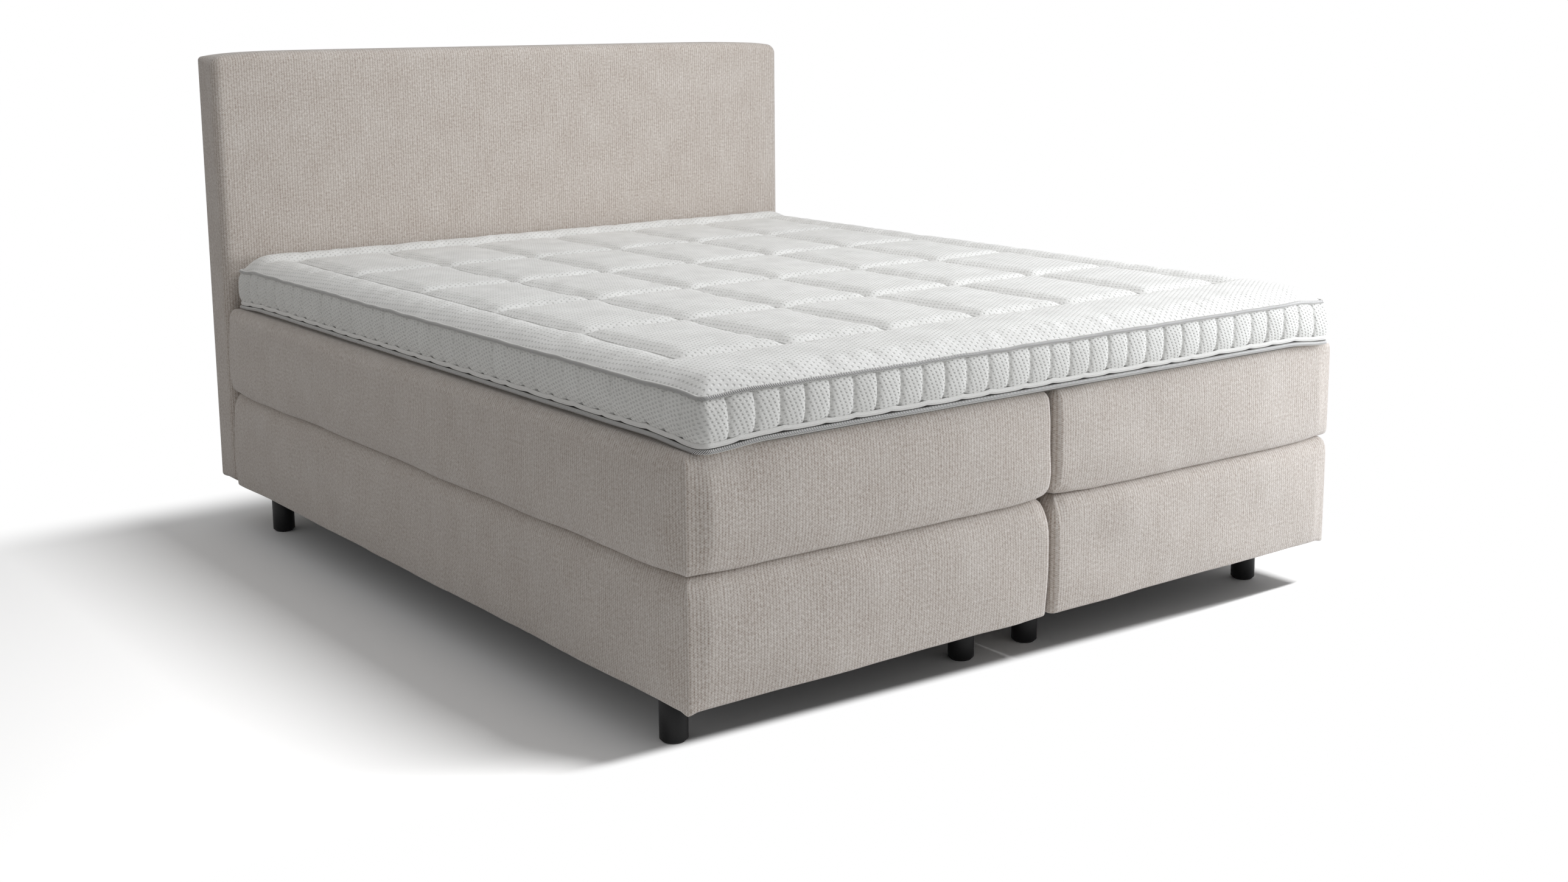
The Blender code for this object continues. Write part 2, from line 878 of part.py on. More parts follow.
def zip_slider():
    """A channel round the chain, open above for the tape, with two ears and a pin in front."""
    outer_x = slider_half_thickness
    outer_z = slider_half_height
    inner_x = outer_x - slider_wall
    inner_z = outer_z - slider_wall
    slot = tape_thickness / 2 + slider_clearance
    outline = [
        (-outer_x, -outer_z),
        (outer_x, -outer_z),
        (outer_x, outer_z),
        (slot, outer_z),
        (slot, inner_z),
        (inner_x, inner_z),
        (inner_x, -inner_z),
        (-inner_x, -inner_z),
        (-inner_x, inner_z),
        (-slot, inner_z),
        (-slot, outer_z),
        (-outer_x, outer_z),
    ]
    place = (chain_x, slider_y, chain_z)
    made = outline_solid("topper_zip_slider", [outline], slider_length, place, zinc, on_edge)
    front = chain_x + outer_x
    for word, sign in (("low", -1), ("high", 1)):
        near = chain_z + sign * ear_gap / 2
        far = near + sign * ear_thickness
        ear = block(
            "topper_zip_ear_" + word,
            (front - slider_wall / 2, slider_y - eye_radius, min(near, far)),
            (pin_x + eye_radius, slider_y + eye_radius, max(near, far)),
        )
        combine(made, ear, "UNION")
    reach = ear_gap / 2 + ear_thickness / 2
    pin = cylinder(
        "topper_zip_pin",
        pin_diameter / 2,
        (pin_x, slider_y, chain_z - reach),
        (pin_x, slider_y, chain_z + reach),
        hole_sides,
    )
    combine(made, pin, "UNION")
    return made


def zip_pull():
    """The pull tab: an eye round the slider's pin and a flat tongue with a round end."""
    bar = pull_thickness / 2
    start = math.asin(bar / eye_radius)
    sweep = 2 * math.pi - 2 * start
    eye = []
    for step in range(hole_sides):
        angle = -math.pi / 2 + start + sweep * step / (hole_sides - 1)
        eye.append((eye_radius * math.cos(angle), eye_radius * math.sin(angle)))
    tip = pull_length - bar
    tongue = [(-bar, -tip), (-bar / 2, -pull_length), (bar / 2, -pull_length), (bar, -tip)]
    hole_radius = (pin_diameter / 2 + eye_clearance) / math.cos(math.pi / hole_sides)
    hole = circle(hole_radius, hole_sides)
    height = ear_gap - 2 * pull_side_clearance
    return outline_solid("topper_zip_pull", [eye + tongue, hole], height, (pin_x, slider_y, chain_z), zinc)


def headboard():
    """The headboard: frame and board, foam, cover and back cloth, hung on two steel plates."""
    front = head_y + headboard_gap
    back = front + headboard_depth
    half = headboard_width / 2
    low = headboard_underside
    high = headboard_top
    cover = fabric_shell(
        "headboard_cover",
        (headboard_width, high - low, headboard_depth),
        headboard_turn_in,
        headboard_radius,
        headboard_segments,
        (0, 0, 0, 0),
        upholstery,
        back_edge_share,
    )
    cover.rotation_euler = on_edge
    cover.location = (0, (front + back) / 2, (low + high) / 2)

    inset = cover_wall + seat_gap
    pad_back = back - inset - headboard_radius * back_edge_share
    pad = block(
        "headboard_pad",
        (-half + inset, front + inset, low + inset),
        (half - inset, pad_back, high - inset),
        foam,
    )
    round_edges(pad, headboard_radius - inset, headboard_segments)
    frame_x = half - inset - headboard_pad_side
    frame_low = low + inset + headboard_pad_side
    frame_high = high - inset - headboard_pad_side
    frame_front = front + inset + headboard_pad_front
    hollow = block(
        "headboard_pad_hollow",
        (-frame_x, frame_front, frame_low),
        (frame_x, back + cut_overrun, frame_high),
    )
    combine(pad, hollow, "DIFFERENCE")

    frame_x -= seat_gap
    frame_low += seat_gap
    frame_high -= seat_gap
    board_front = frame_front + seat_gap
    board_back = board_front + headboard_board
    frame_back = back - inset
    block(
        "headboard_board",
        (-frame_x, board_front, frame_low),
        (frame_x, board_back, frame_high),
        plywood,
    )
    stile_front = board_back + seat_gap
    for sign, word in ((-1, "left"), (1, "right")):
        edges = sorted((sign * frame_x, sign * (frame_x - stile_width)))
        block(
            "headboard_" + word + "_stile",
            (edges[0], stile_front, frame_low),
            (edges[1], frame_back, frame_high),
            pine,
        )
    rail_x = frame_x - stile_width - seat_gap
    for word, bottom in (("bottom", frame_low), ("top", frame_high - stile_width)):
        block(
            "headboard_" + word + "_rail",
            (-rail_x, stile_front, bottom),
            (rail_x, frame_back, bottom + stile_width),
            pine,
        )
    cloth_x = half - headboard_turn_in - seat_gap
    cloth_back = frame_back - seat_gap
    block(
        "headboard_back_cloth",
        (-cloth_x, frame_back + seat_gap, low + headboard_turn_in + seat_gap),
        (cloth_x, frame_back + seat_gap + dust_cloth_thickness, high - headboard_turn_in - seat_gap),
        black_cloth,
    )
    for sign, word in ((-1, "left"), (1, "right")):
        x = sign * (bed_width / 2 - bracket_side_inset)
        z = base_underside + bracket_rise
        block(
            "headboard_" + word + "_bracket",
            (x - bracket_width / 2, head_y + seat_gap, z),
            (x + bracket_width / 2, front - seat_gap, z + bracket_height),
            steel,
        )


def empty(name, place, parent=None):
    """A plain-axes empty that carries the pieces of one moving body."""
    made = bpy.data.objects.new(name, None)
    made.empty_display_size = cord_diameter
    bed.objects.link(made)
    made.location = place
    if parent:
        hold(made, parent)
    return made


def hold(piece, carrier):
    """Parents a piece to an empty and keeps its place."""
    piece.location = Vector(piece.location) - world_place(carrier)
    piece.parent = carrier


def world_place(piece):
    place = Vector(piece.location)
    while piece.parent:
        piece = piece.parent
        place += Vector(piece.location)
    return place


clear_scene()
bed = new_collection("box_spring_bed")
cutters = new_collection("cutters")

upholstery = new_material("beige_chenille", (0.47, 0.40, 0.35), 0.9)
knit = new_material("white_knit", (0.80, 0.80, 0.79), 0.9)
cord = new_material("grey_cord", (0.42, 0.42, 0.43), 0.8)
foam = new_material("foam", (0.85, 0.78, 0.52), 0.95)
pocket_cloth = new_material("pocket_cloth", (0.75, 0.76, 0.78), 0.9)
black_cloth = new_material("black_nonwoven", (0.03, 0.03, 0.03), 0.95)
black_plastic = new_material("black_plastic", (0.02, 0.02, 0.02), 0.45)
pine = new_material("pine", (0.72, 0.50, 0.28), 0.6)
plywood = new_material("plywood", (0.62, 0.45, 0.28), 0.65)
steel = new_material("zinc_plated_steel", (0.55, 0.56, 0.58), 0.35, 1.0)
zinc = new_material("zinc_alloy", (0.60, 0.61, 0.63), 0.30, 1.0)
zip_tape = new_material("zip_tape", (0.78, 0.77, 0.73), 0.85)

for base_side, side_word in ((-1, "left"), (1, "right")):
    base(base_side, side_word)
    mattress(base_side, side_word)
base_link()
headboard()

topper_lift = empty("topper_lift_axis", (0, topper_mid_y, topper_bottom))
for topper_piece in topper():
    hold(topper_piece, topper_lift)
hold(zip_chain(), topper_lift)
zip_slide = empty("zip_slide_axis", (chain_x, slider_y, chain_z), topper_lift)
hold(zip_slider(), zip_slide)
zip_hinge = empty("zip_pull_axis", (pin_x, slider_y, chain_z), zip_slide)
hold(zip_pull(), zip_hinge)
bpy.context.view_layer.update()

print("pieces", len([piece for piece in bed.objects if piece.type != "EMPTY"]))
print("zip travel", round(zip_travel, 4), "pin at", round(pin_x, 5), round(slider_y, 5), round(chain_z, 5))
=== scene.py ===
# %% [markdown]
# # A box spring bed in cloth, foam and wood
# The bed stands on eight short legs: two sprung bases, two mattresses, one quilted topper
# that can be lifted off, and a padded headboard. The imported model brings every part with
# its true place and size. This lesson dresses it: each soft part gets its swell, its seams
# and its cloth, and the hard parts get their finish.

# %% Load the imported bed
import math

import bmesh
import bpy
from mathutils import Matrix, Vector, noise


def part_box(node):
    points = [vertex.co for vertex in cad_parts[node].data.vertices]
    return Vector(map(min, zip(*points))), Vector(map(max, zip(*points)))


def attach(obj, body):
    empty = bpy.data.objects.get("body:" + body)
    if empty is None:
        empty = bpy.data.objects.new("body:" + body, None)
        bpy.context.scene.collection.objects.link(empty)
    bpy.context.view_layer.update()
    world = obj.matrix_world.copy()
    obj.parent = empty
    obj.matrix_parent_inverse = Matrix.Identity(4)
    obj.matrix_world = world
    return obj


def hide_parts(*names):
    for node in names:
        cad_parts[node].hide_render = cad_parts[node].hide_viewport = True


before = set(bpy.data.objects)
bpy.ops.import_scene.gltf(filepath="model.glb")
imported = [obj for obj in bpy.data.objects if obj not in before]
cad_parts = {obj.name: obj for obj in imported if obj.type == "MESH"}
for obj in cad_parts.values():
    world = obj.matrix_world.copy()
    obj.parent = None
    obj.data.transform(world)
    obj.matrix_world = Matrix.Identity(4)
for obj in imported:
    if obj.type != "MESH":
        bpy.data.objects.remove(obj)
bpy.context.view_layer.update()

mm = 0.001

# %% [markdown]
# ## The camera
# A product photo of a bed is taken from a little above the mattress, off one corner of the
# foot end, with a fairly long lens, so that the far side doesn't shrink too much. The place
# and the turn were solved from corners whose real places are known, and the small downward
# shift stands for the crop of the picture.

# %% Set up the camera
camera_place = Vector((-2.6692, -3.7237, 1.3535))
yaw, pitch, roll = 0.65096, 0.17611, 0.00628
image_width, image_height = 2576, 1449
focal_pixels = 3086.66
principal_point = (1294.73, 560.0)
sensor_width = 36.0

forward = Vector((math.sin(yaw) * math.cos(pitch), math.cos(yaw) * math.cos(pitch),
                  -math.sin(pitch)))
level_right = Vector((math.cos(yaw), -math.sin(yaw), 0))
level_down = forward.cross(level_right)
camera_right = math.cos(roll) * level_right + math.sin(roll) * level_down
camera_down = math.cos(roll) * level_down - math.sin(roll) * level_right

lens_data = bpy.data.cameras.new("camera")
lens_data.sensor_fit = "HORIZONTAL"
lens_data.sensor_width = sensor_width
lens_data.lens = sensor_width * focal_pixels / image_width
lens_data.shift_x = (image_width / 2 - principal_point[0]) / image_width
lens_data.shift_y = (principal_point[1] - image_height / 2) / image_width
camera = bpy.data.objects.new("camera", lens_data)
axes = Matrix((camera_right, -camera_down, -forward)).transposed()
camera.matrix_world = Matrix.Translation(camera_place) @ axes.to_4x4()
bpy.context.scene.collection.objects.link(camera)
bpy.context.scene.camera = camera
bpy.context.scene.view_settings.view_transform = "Standard"
print("lens in mm:", round(lens_data.lens, 2))

# %% [markdown]
# ## Colours and nodes
# Cloth, plastic and wood are all described by nodes. Colours are written as the hex values
# that one would pick from a picture, and one function turns them into the linear values
# that the shader wants. One more adds a node and fills or links its inputs, and two short
# ones make the sums and the waves that most patterns are built from.

# %% Helpers for colours and nodes
def linear(hex_code):
    """An sRGB hex colour such as #c8bfb4 as a linear colour with alpha."""
    channels = [int(hex_code[k:k + 2], 16) / 255 for k in (1, 3, 5)]
    return [c / 12.92 if c <= 0.04045 else ((c + 0.055) / 1.055) ** 2.4 for c in channels] + [1.0]


def fill_inputs(tree, node, values):
    """Gives a node's inputs their values. A node or an output as a value is linked."""
    for name, value in values.items():
        socket = node.inputs[name.replace("_", " ") if isinstance(name, str) else name]
        if isinstance(value, bpy.types.Node):
            value = value.outputs[0]
        if isinstance(value, bpy.types.NodeSocket):
            tree.links.new(value, socket)
        else:
            socket.default_value = value


def add_node(tree, kind, *values, **named):
    """Adds a shader node. Values fill its inputs in order, and so does a name with a capital,
    such as From_Min. The other names are the node's settings."""
    node = tree.nodes.new("ShaderNode" + kind)
    for name in [name for name in named if name.islower()]:
        setattr(node, name, named.pop(name))
    fill_inputs(tree, node, {**dict(enumerate(values)), **named})
    return node


def total(tree, start, *shares):
    """A sum: start, and each value times its share."""
    for value, share in shares:
        start = add_node(tree, "Math", value, share, start, operation="MULTIPLY_ADD")
    return start


def wave(tree, value, pitch, operation="SINE"):
    """A wave between -1 and 1 that comes back once in every pitch."""
    turn = add_node(tree, "Math", value, 2 * math.pi / pitch, operation="MULTIPLY")
    return add_node(tree, "Math", turn, operation=operation)


# %% [markdown]
# Every finish starts as one shader with fixed values and the place that its pattern reads.
# The pattern is a tone, which runs over a few colours, and a height, which bumps the
# surface. Plain things such as plastic or zinc only get fine specks.

# %% Helpers for finishes
def new_finish(name, roughness, uv_map="", **more):
    """A material whose shader has these fixed values. Returns it, its tree, its shader and
    the place that its pattern reads: in the object's metres, or on a UV map."""
    finish = bpy.data.materials.new(name)
    finish.use_nodes = True
    tree = finish.node_tree
    shader = tree.nodes["Principled BSDF"]
    fill_inputs(tree, shader, {"Roughness": roughness, **more})
    print("finish:", name)
    if uv_map:
        return finish, tree, shader, add_node(tree, "UVMap", uv_map=uv_map).outputs[0]
    return finish, tree, shader, add_node(tree, "TexCoord").outputs["Object"]


def surface(tree, shader, tone, stops, height=None, depth=0.0):
    """Colours a shader by the stops, (place, hex colour) from low to high, that a tone runs
    over. height gives it a bump of that depth."""
    band = add_node(tree, "ValToRGB", tone)
    elements = band.color_ramp.elements
    for k, (place, colour) in enumerate(stops):
        element = elements[k] if k < 2 else elements.new(place)
        element.position, element.color = place, linear(colour)
    fill_inputs(tree, shader, {"Base_Color": band})
    if height is not None:
        bump = add_node(tree, "Bump", Height=height, Distance=depth)
        fill_inputs(tree, shader, {"Normal": bump})


def speckled(name, roughness, scale, detail, dark, pale, spread=0.0, depth=0.0, **more):
    """A plain finish with fine specks, scale of them to a metre. They change its colour, its
    roughness by up to spread, and its height by up to depth."""
    finish, tree, shader, place = new_finish(name, roughness, **more)
    specks = add_node(tree, "TexNoise", Vector=place, Scale=scale, Detail=detail)
    surface(tree, shader, specks, [(0.3, dark), (0.7, pale)], specks if depth else None, depth)
    if spread:
        fill_inputs(tree, shader, {"Roughness": total(tree, roughness, (specks, spread))})
    return finish

# %% [markdown]
# ## Floor, background and light
# The bed stands on a plain white floor. The lamps light it at a level at which a colour
# renders about as it is written, and only the camera sees the white of the background, so
# it doesn't wash out the cloth. The key is a soft box low and close to the right of the foot
# end, so the foot face gets darker to the left, and the left side of the bed is in the shade.
# A second one hangs over the bed, and a weak warm one stands on the left, for the bounce.

# %% Floor
def seen_directly(tree):
    """1 for what the camera sees, also in a mirror or through glass, and 0 for the light
    that falls on other things."""
    paths = add_node(tree, "LightPath")
    indirect = [paths.outputs[name] for name in ("Is Glossy Ray", "Is Transmission Ray")]
    seen = add_node(tree, "Math", *indirect, operation="MAXIMUM")
    return add_node(tree, "Math", paths.outputs["Is Camera Ray"], seen, operation="MAXIMUM")


floor_size = 40.0
sheet = bmesh.new()
bmesh.ops.create_grid(sheet, x_segments=1, y_segments=1, size=floor_size / 2)
floor_mesh = bpy.data.meshes.new("floor")
sheet.to_mesh(floor_mesh)
sheet.free()
floor = bpy.data.objects.new("floor", floor_mesh)
bpy.context.scene.collection.objects.link(floor)

# Matt white studio paint: for the camera it is a little brighter, so that the open floor
# comes out white, while the shade under the bed stays grey. Away from the bed it turns into
# the plain white of the background, as a paper roll does that has no edge and no horizon.
floor_paint, tree, shader, place = new_finish("matt_white_paint", 0.9, Base_Color=linear("#c0c0c0"),
                                              Specular_IOR_Level=0.0)
bright = add_node(tree, "BsdfDiffuse", Color=(1.25, 1.25, 1.25, 1))
away = add_node(tree, "VectorMath", place, operation="LENGTH").outputs["Value"]
along_x, along_y = add_node(tree, "SeparateXYZ", place).outputs[:2]
# The bed's shadow on the floor is cut off at a line under the foot end that is turned by 3 degrees.
foot_line = total(tree, along_y, (along_x, 0.0535))
# Where the paint turns to a white glow: far away, as the backdrop, and behind the
# headboard, right of the bed and in front of the foot line, where the glow is painted light
# over the bed's real shadow.
beyond = 0.0
for value, start, end in ((away, 2.6, 4.2), (along_y, 1.12, 1.4), (along_x, 0.9, 1.3),
                          (foot_line, -0.985, -1.03)):
    fade = add_node(tree, "MapRange", Value=value, From_Min=start, From_Max=end,
                    interpolation_type="SMOOTHSTEP")
    beyond = add_node(tree, "Math", fade, beyond, operation="MAXIMUM")
# A white glow: the backdrop far away, and painted light over the floor's shadow near the bed.
white_glow = add_node(tree, "Emission", Color=(1, 1, 1, 1), Strength=1.0)
open_floor = add_node(tree, "MixShader", beyond, bright, white_glow)
mixed = add_node(tree, "MixShader", seen_directly(tree), shader, open_floor)
fill_inputs(tree, tree.nodes["Material Output"], {"Surface": mixed})
floor_mesh.materials.append(floor_paint)

# %% World and lamps
fill_level = 0.33
world = bpy.data.worlds.new("studio")
world.use_nodes = True
bpy.context.scene.world = world
tree = world.node_tree
level = total(tree, fill_level, (seen_directly(tree), 1 - fill_level))
fill_inputs(tree, tree.nodes["Background"], {"Strength": level, "Color": (1, 1, 1, 1)})


def soft_box(name, place, target, size, power, tint):
    """A square lamp with an even face, turned towards a point. It doesn't light the floor."""
    lamp = bpy.data.lights.new(name, "AREA")
    lamp.shape, lamp.size, lamp.energy, lamp.color = "SQUARE", size, power, linear(tint)[:3]
    holder = bpy.data.objects.new(name, lamp)
    away = Vector(place) - Vector(target)
    holder.rotation_euler = away.to_track_quat("Z", "Y").to_euler()
    holder.location = place
    bpy.context.scene.collection.objects.link(holder)
    holder.light_linking.receiver_collection = all_but_floor
    print(name, power, "W")
    return holder


# The lamps that model the bed leave the floor alone, and a strip lamp high over its right
# half lights only the floor. So the floor has one shadow, short and to the left.
all_but_floor = bpy.data.collections.new("all_but_floor")
all_but_floor.objects.link(floor)
all_but_floor.collection_objects[0].light_linking.link_state = "EXCLUDE"
only_floor = bpy.data.collections.new("only_floor")
only_floor.objects.link(floor)
soft_box("key_soft_box", (2.3, -2.2, 1.2), (-0.9, -1.6, 0.1), 1.2, 59, "#f8fbff")
soft_box("top_soft_box", (0.7, -0.8, 3.0), (0.1, 0.2, 0.7), 2.8, 43, "#ffffff")
soft_box("left_soft_box", (-4.4, 2.6, 1.2), (-0.9, 0.8, 0.4), 2.4, 6.5, "#fff3e6")
strip = soft_box("floor_strip_lamp", (1.0, -3.0, 4.0), (1.0, -1.0, 0.0), 1.9, 230, "#ffffff")
strip.data.shape, strip.data.size_y = "RECTANGLE", 0.4
strip.light_linking.receiver_collection = only_floor

# %% [markdown]
# ## The upholstery cloth
# Bases, mattresses and headboard wear the same chenille: upright ribs about 7 mm apart,
# each a chain of small soft knots, with a brown ground yarn showing in the grooves. The
# colour follows the height of the pile, so the grooves and the low tufts are darker, which
# is partly that yarn and partly painted shade. The pile is fuzzy, so it is rough all over,
# and single tufts are lighter or darker. The cloth has its own UV map in metres, across the
# ribs and along them, so the ribs follow the cloth round every edge.

# %% Chenille
rib_pitch = 7.14 * mm
knot_pitch = 4.87 * mm
rib_drift = 2.4 * mm


def chenille(name, light, middle, dark):
    """Ribbed chenille: cream pile on the ribs, and in the grooves a brown ground yarn, drawn darker
    partly as painted shade.
    """
    finish, tree, shader, cloth = new_finish(name, 0.95, "cloth", Sheen_Weight=0.5,
                                             Sheen_Roughness=0.5)
    # The pile isn't straight: a noise pushes the ribs up to a sixth of a rib either way.
    drift = add_node(tree, "TexNoise", Vector=cloth, Scale=90.0, Detail=2.0).outputs["Color"]
    push = add_node(tree, "VectorMath", drift, (0.5, 0.5, 0.5), operation="SUBTRACT")
    reach = add_node(tree, "VectorMath", push, (rib_drift, rib_drift, 0), operation="MULTIPLY")
    moved = add_node(tree, "VectorMath", cloth, reach, operation="ADD")
    across, along = add_node(tree, "SeparateXYZ", moved).outputs[:2]
    # The loops stand in bricks: between each four of them a small speck is brown, partly ground
    # yarn and partly painted shade in the gap.
    rib = wave(tree, across, rib_pitch, "COSINE")
    row = wave(tree, along, knot_pitch, "COSINE")
    bricks = add_node(tree, "Math", rib, row, operation="MULTIPLY")
    speck = add_node(tree, "MapRange", Value=bricks, From_Min=0.15, From_Max=0.95,
                     interpolation_type="SMOOTHSTEP")
    # Tufts of pile are 0.5 to 1 mm; drawn at 1.1 mm so that they still show.
    tuft = add_node(tree, "TexNoise", Vector=cloth, Scale=850.0, Detail=2.0, Roughness=0.7)
    clump = add_node(tree, "TexNoise", Vector=cloth, Scale=170.0, Detail=2.0)
    height = total(tree, -0.12, (speck, -0.15), (rib, -0.07), (tuft, 0.8), (clump, 0.5))
    # Slow streaks along the ribs: yarn from different bobbins takes the dye differently.
    stretch = add_node(tree, "Mapping", Vector=cloth, Scale=(130.0, 9.0, 1.0))
    streak = add_node(tree, "TexNoise", Vector=stretch, Scale=1.0, Detail=2.0)
    # The pile lies this way or that in patches a hand wide.
    nap = add_node(tree, "TexNoise", Vector=cloth, Scale=11.0, Detail=3.0)
    # The tone follows the height, so the low pile is drawn darker: partly painted shade.
    tone = total(tree, -0.115, (height, 1.0), (streak, 0.11), (nap, 0.12))
    surface(tree, shader, tone, [(0.2, dark), (0.46, middle), (0.76, light)], height, 0.9 * mm)
    return finish


upholstery = chenille("beige_chenille", "#eae5e0", "#c3b9b0", "#8a7161")

# %% [markdown]
# ## Wrapping a box in cloth
# Every upholstered part is a box with rounded edges that one long strip of cloth runs
# round. A subdivided cube would give the same faces everywhere, but the ribs need columns
# that follow them, two to a rib, and few rows. So the strip is a grid, rolled round the
# box: its columns go round the outline and its rows go up the wall and over the edges.
# The strip's two ends meet on the side that is out of sight and are merged.

# %% Columns round a box
class Outline:
    """A rectangle seen from above, with its own radius at each corner, walked anticlockwise
    from the middle of the head side: head left, foot left, foot right, head right."""
    signs = ((-1, 1), (-1, -1), (1, -1), (1, 1))
    sides = ("head", "left", "foot", "right", "head")

    def __init__(self, low, high, radii, spacing):
        self.low, self.high, self.radii = low, high, radii
        lengths = []
        stations = [self.middle(0)]
        for corner in range(4):
            stations += [self.arc(corner, 0, 0), self.arc(corner, 1, 0)]
        stations.append(self.middle(0))
        for k in range(9):
            if k % 2:
                lengths.append(radii[k // 2] * math.pi / 2)
            else:
                lengths.append((Vector(stations[k + 1]) - Vector(stations[k])).length)
        self.lengths = lengths
        self.around = sum(lengths)
        ribs = round(self.around / (4 * spacing))
        self.count = 4 * ribs
        self.columns = [self.column(k / self.count) for k in range(self.count)]

    def middle(self, inset):
        return ((self.low[0] + self.high[0]) / 2, self.high[1] - inset)

    def arc(self, corner, share, inset):
        sx, sy = self.signs[corner]
        radius = max(self.radii[corner] - inset, 0.3 * mm)
        x = (self.high[0] if sx > 0 else self.low[0]) - sx * (inset + radius)
        y = (self.high[1] if sy > 0 else self.low[1]) - sy * (inset + radius)
        angle = math.radians(90 + 90 * (corner + share))
        return (x + radius * math.cos(angle), y + radius * math.sin(angle))

    def column(self, share):
        """What one column needs: its piece of the outline, how far along it is, and its facing."""
        walked = share * self.around
        at = walked
        for k, length in enumerate(self.lengths):
            if at <= length or k == 8:
                break
            at -= length
        along = min(at / length, 1.0)
        if k % 2:
            angle = math.radians(90 + 90 * (k // 2 + along))
            before, after = 0.0, 0.0
        else:
            angle = math.radians(90 + 90 * (k // 2))
            before, after = at, length - at
            if k == 0:
                before = length
            if k == 8:
                after = length
        return {"piece": k, "along": along, "u": walked,
                "facing": (math.cos(angle), math.sin(angle)),
                "side": self.sides[(k + 1) // 2 if k % 2 == 0 else k // 2], "arc": k % 2 == 1,
                "corner": k // 2, "before": before, "after": after}

    def place(self, column, inset):
        k, along = column["piece"], column["along"]
        if k % 2:
            return self.arc(k // 2, along, inset)
        start = self.middle(inset) if k == 0 else self.arc(k // 2 - 1, 1, inset)
        end = self.middle(inset) if k == 8 else self.arc(k // 2, 0, inset)
        return (start[0] + (end[0] - start[0]) * along, start[1] + (end[1] - start[1]) * along)


# %% [markdown]
# The cut through a wall is the same all round: a turned-in edge below, a rounded lower
# edge, the wall, a rounded upper edge, and the top, inwards. The two edges are quarter
# ellipses, because cloth over foam never makes a true circle.

# %% Rows up a wall
def eased(value):
    """0 below 0, 1 above 1, and a smooth step between."""
    value = min(max(value, 0.0), 1.0)
    return value * value * (3 - 2 * value)


def wall_rows(low, high, turn_in, lower_edge, upper_edge, top_in, counts):
    """Points (inset, height, outward, upward, share of the wall) up the cut through a wall."""
    turned, lower, wall, upper, top = counts
    rows = []
    for k in range(turned):
        rows.append((turn_in + (lower_edge[0] - turn_in) * k / turned, low, 0.0, -1.0, 0.0))
    for k in range(lower):
        a = math.radians(-90 + 90 * k / lower)
        rows.append((lower_edge[0] * (1 - math.cos(a)), low + lower_edge[1] * (1 + math.sin(a)),
                     math.cos(a), math.sin(a), 0.0))
    start, end = low + lower_edge[1], high - upper_edge[1]
    for k in range(wall):
        rows.append((0.0, start + (end - start) * k / wall, 1.0, 0.0, 0.0))
    for k in range(upper):
        a = math.radians(90 * k / upper)
        rows.append((upper_edge[0] * (1 - math.cos(a)), high - upper_edge[1] * (1 - math.sin(a)),
                     math.cos(a), math.sin(a), 0.0))
    for k in range(top + 1):
        rows.append((upper_edge[0] + (top_in - upper_edge[0]) * k / top, high, 0.0, 1.0, 0.0))
    return [(i, z, o, u, (z - low) / (high - low)) for i, z, o, u, _ in rows]


# %% [markdown]
# Rolling the grid takes one pass over its vertices. Each one asks the outline for its
# place at the row's inset, and a swell function of the piece's own for how far the padding
# pushes it out there. The same pass writes the cloth's UV map: the distance round the box
# across the ribs, and the distance up the cut along them.

# %% Roll a strip of cloth round a box
def put_in_scene(bm, name, materials, body, node="", smooth=True):
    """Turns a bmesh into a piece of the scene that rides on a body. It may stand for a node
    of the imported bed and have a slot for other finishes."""
    mesh = bpy.data.meshes.new(name)
    if smooth:
        for face in bm.faces:
            face.smooth = True
    bm.to_mesh(mesh)
    bm.free()
    for finish in materials:
        mesh.materials.append(finish)
    piece = bpy.data.objects.new(name, mesh)
    bpy.context.scene.collection.objects.link(piece)
    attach(piece, body)
    if node:
        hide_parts(node)
    print(name, len(mesh.polygons), "faces")
    return piece


def short_triangles(rim):
    """Triangles across a ring of vertices, left to right. One face would sag on an arched ring."""
    def place(vertex):
        return (round(vertex.co.x, 4), vertex.co.y)

    first = rim.index(min(rim, key=place))
    rim = rim[first:] + rim[:first]
    last = rim.index(max(rim, key=place))
    one, other = rim[:last + 1], [rim[0]] + rim[:last - 1:-1]
    a = b = 1
    triangles = [(one[0], one[1], other[1])]
    while a < len(one) - 2 or b < len(other) - 2:
        if b == len(other) - 2 or (a < len(one) - 2 and one[a + 1].co.x < other[b + 1].co.x):
            triangles.append((one[a], one[a + 1], other[b]))
            a += 1
        else:
            triangles.append((one[a], other[b + 1], other[b]))
            b += 1
    return triangles + [(one[-2], one[-1], other[-2])]


def unswollen(column, inset, z, share, out):
    return 0.0


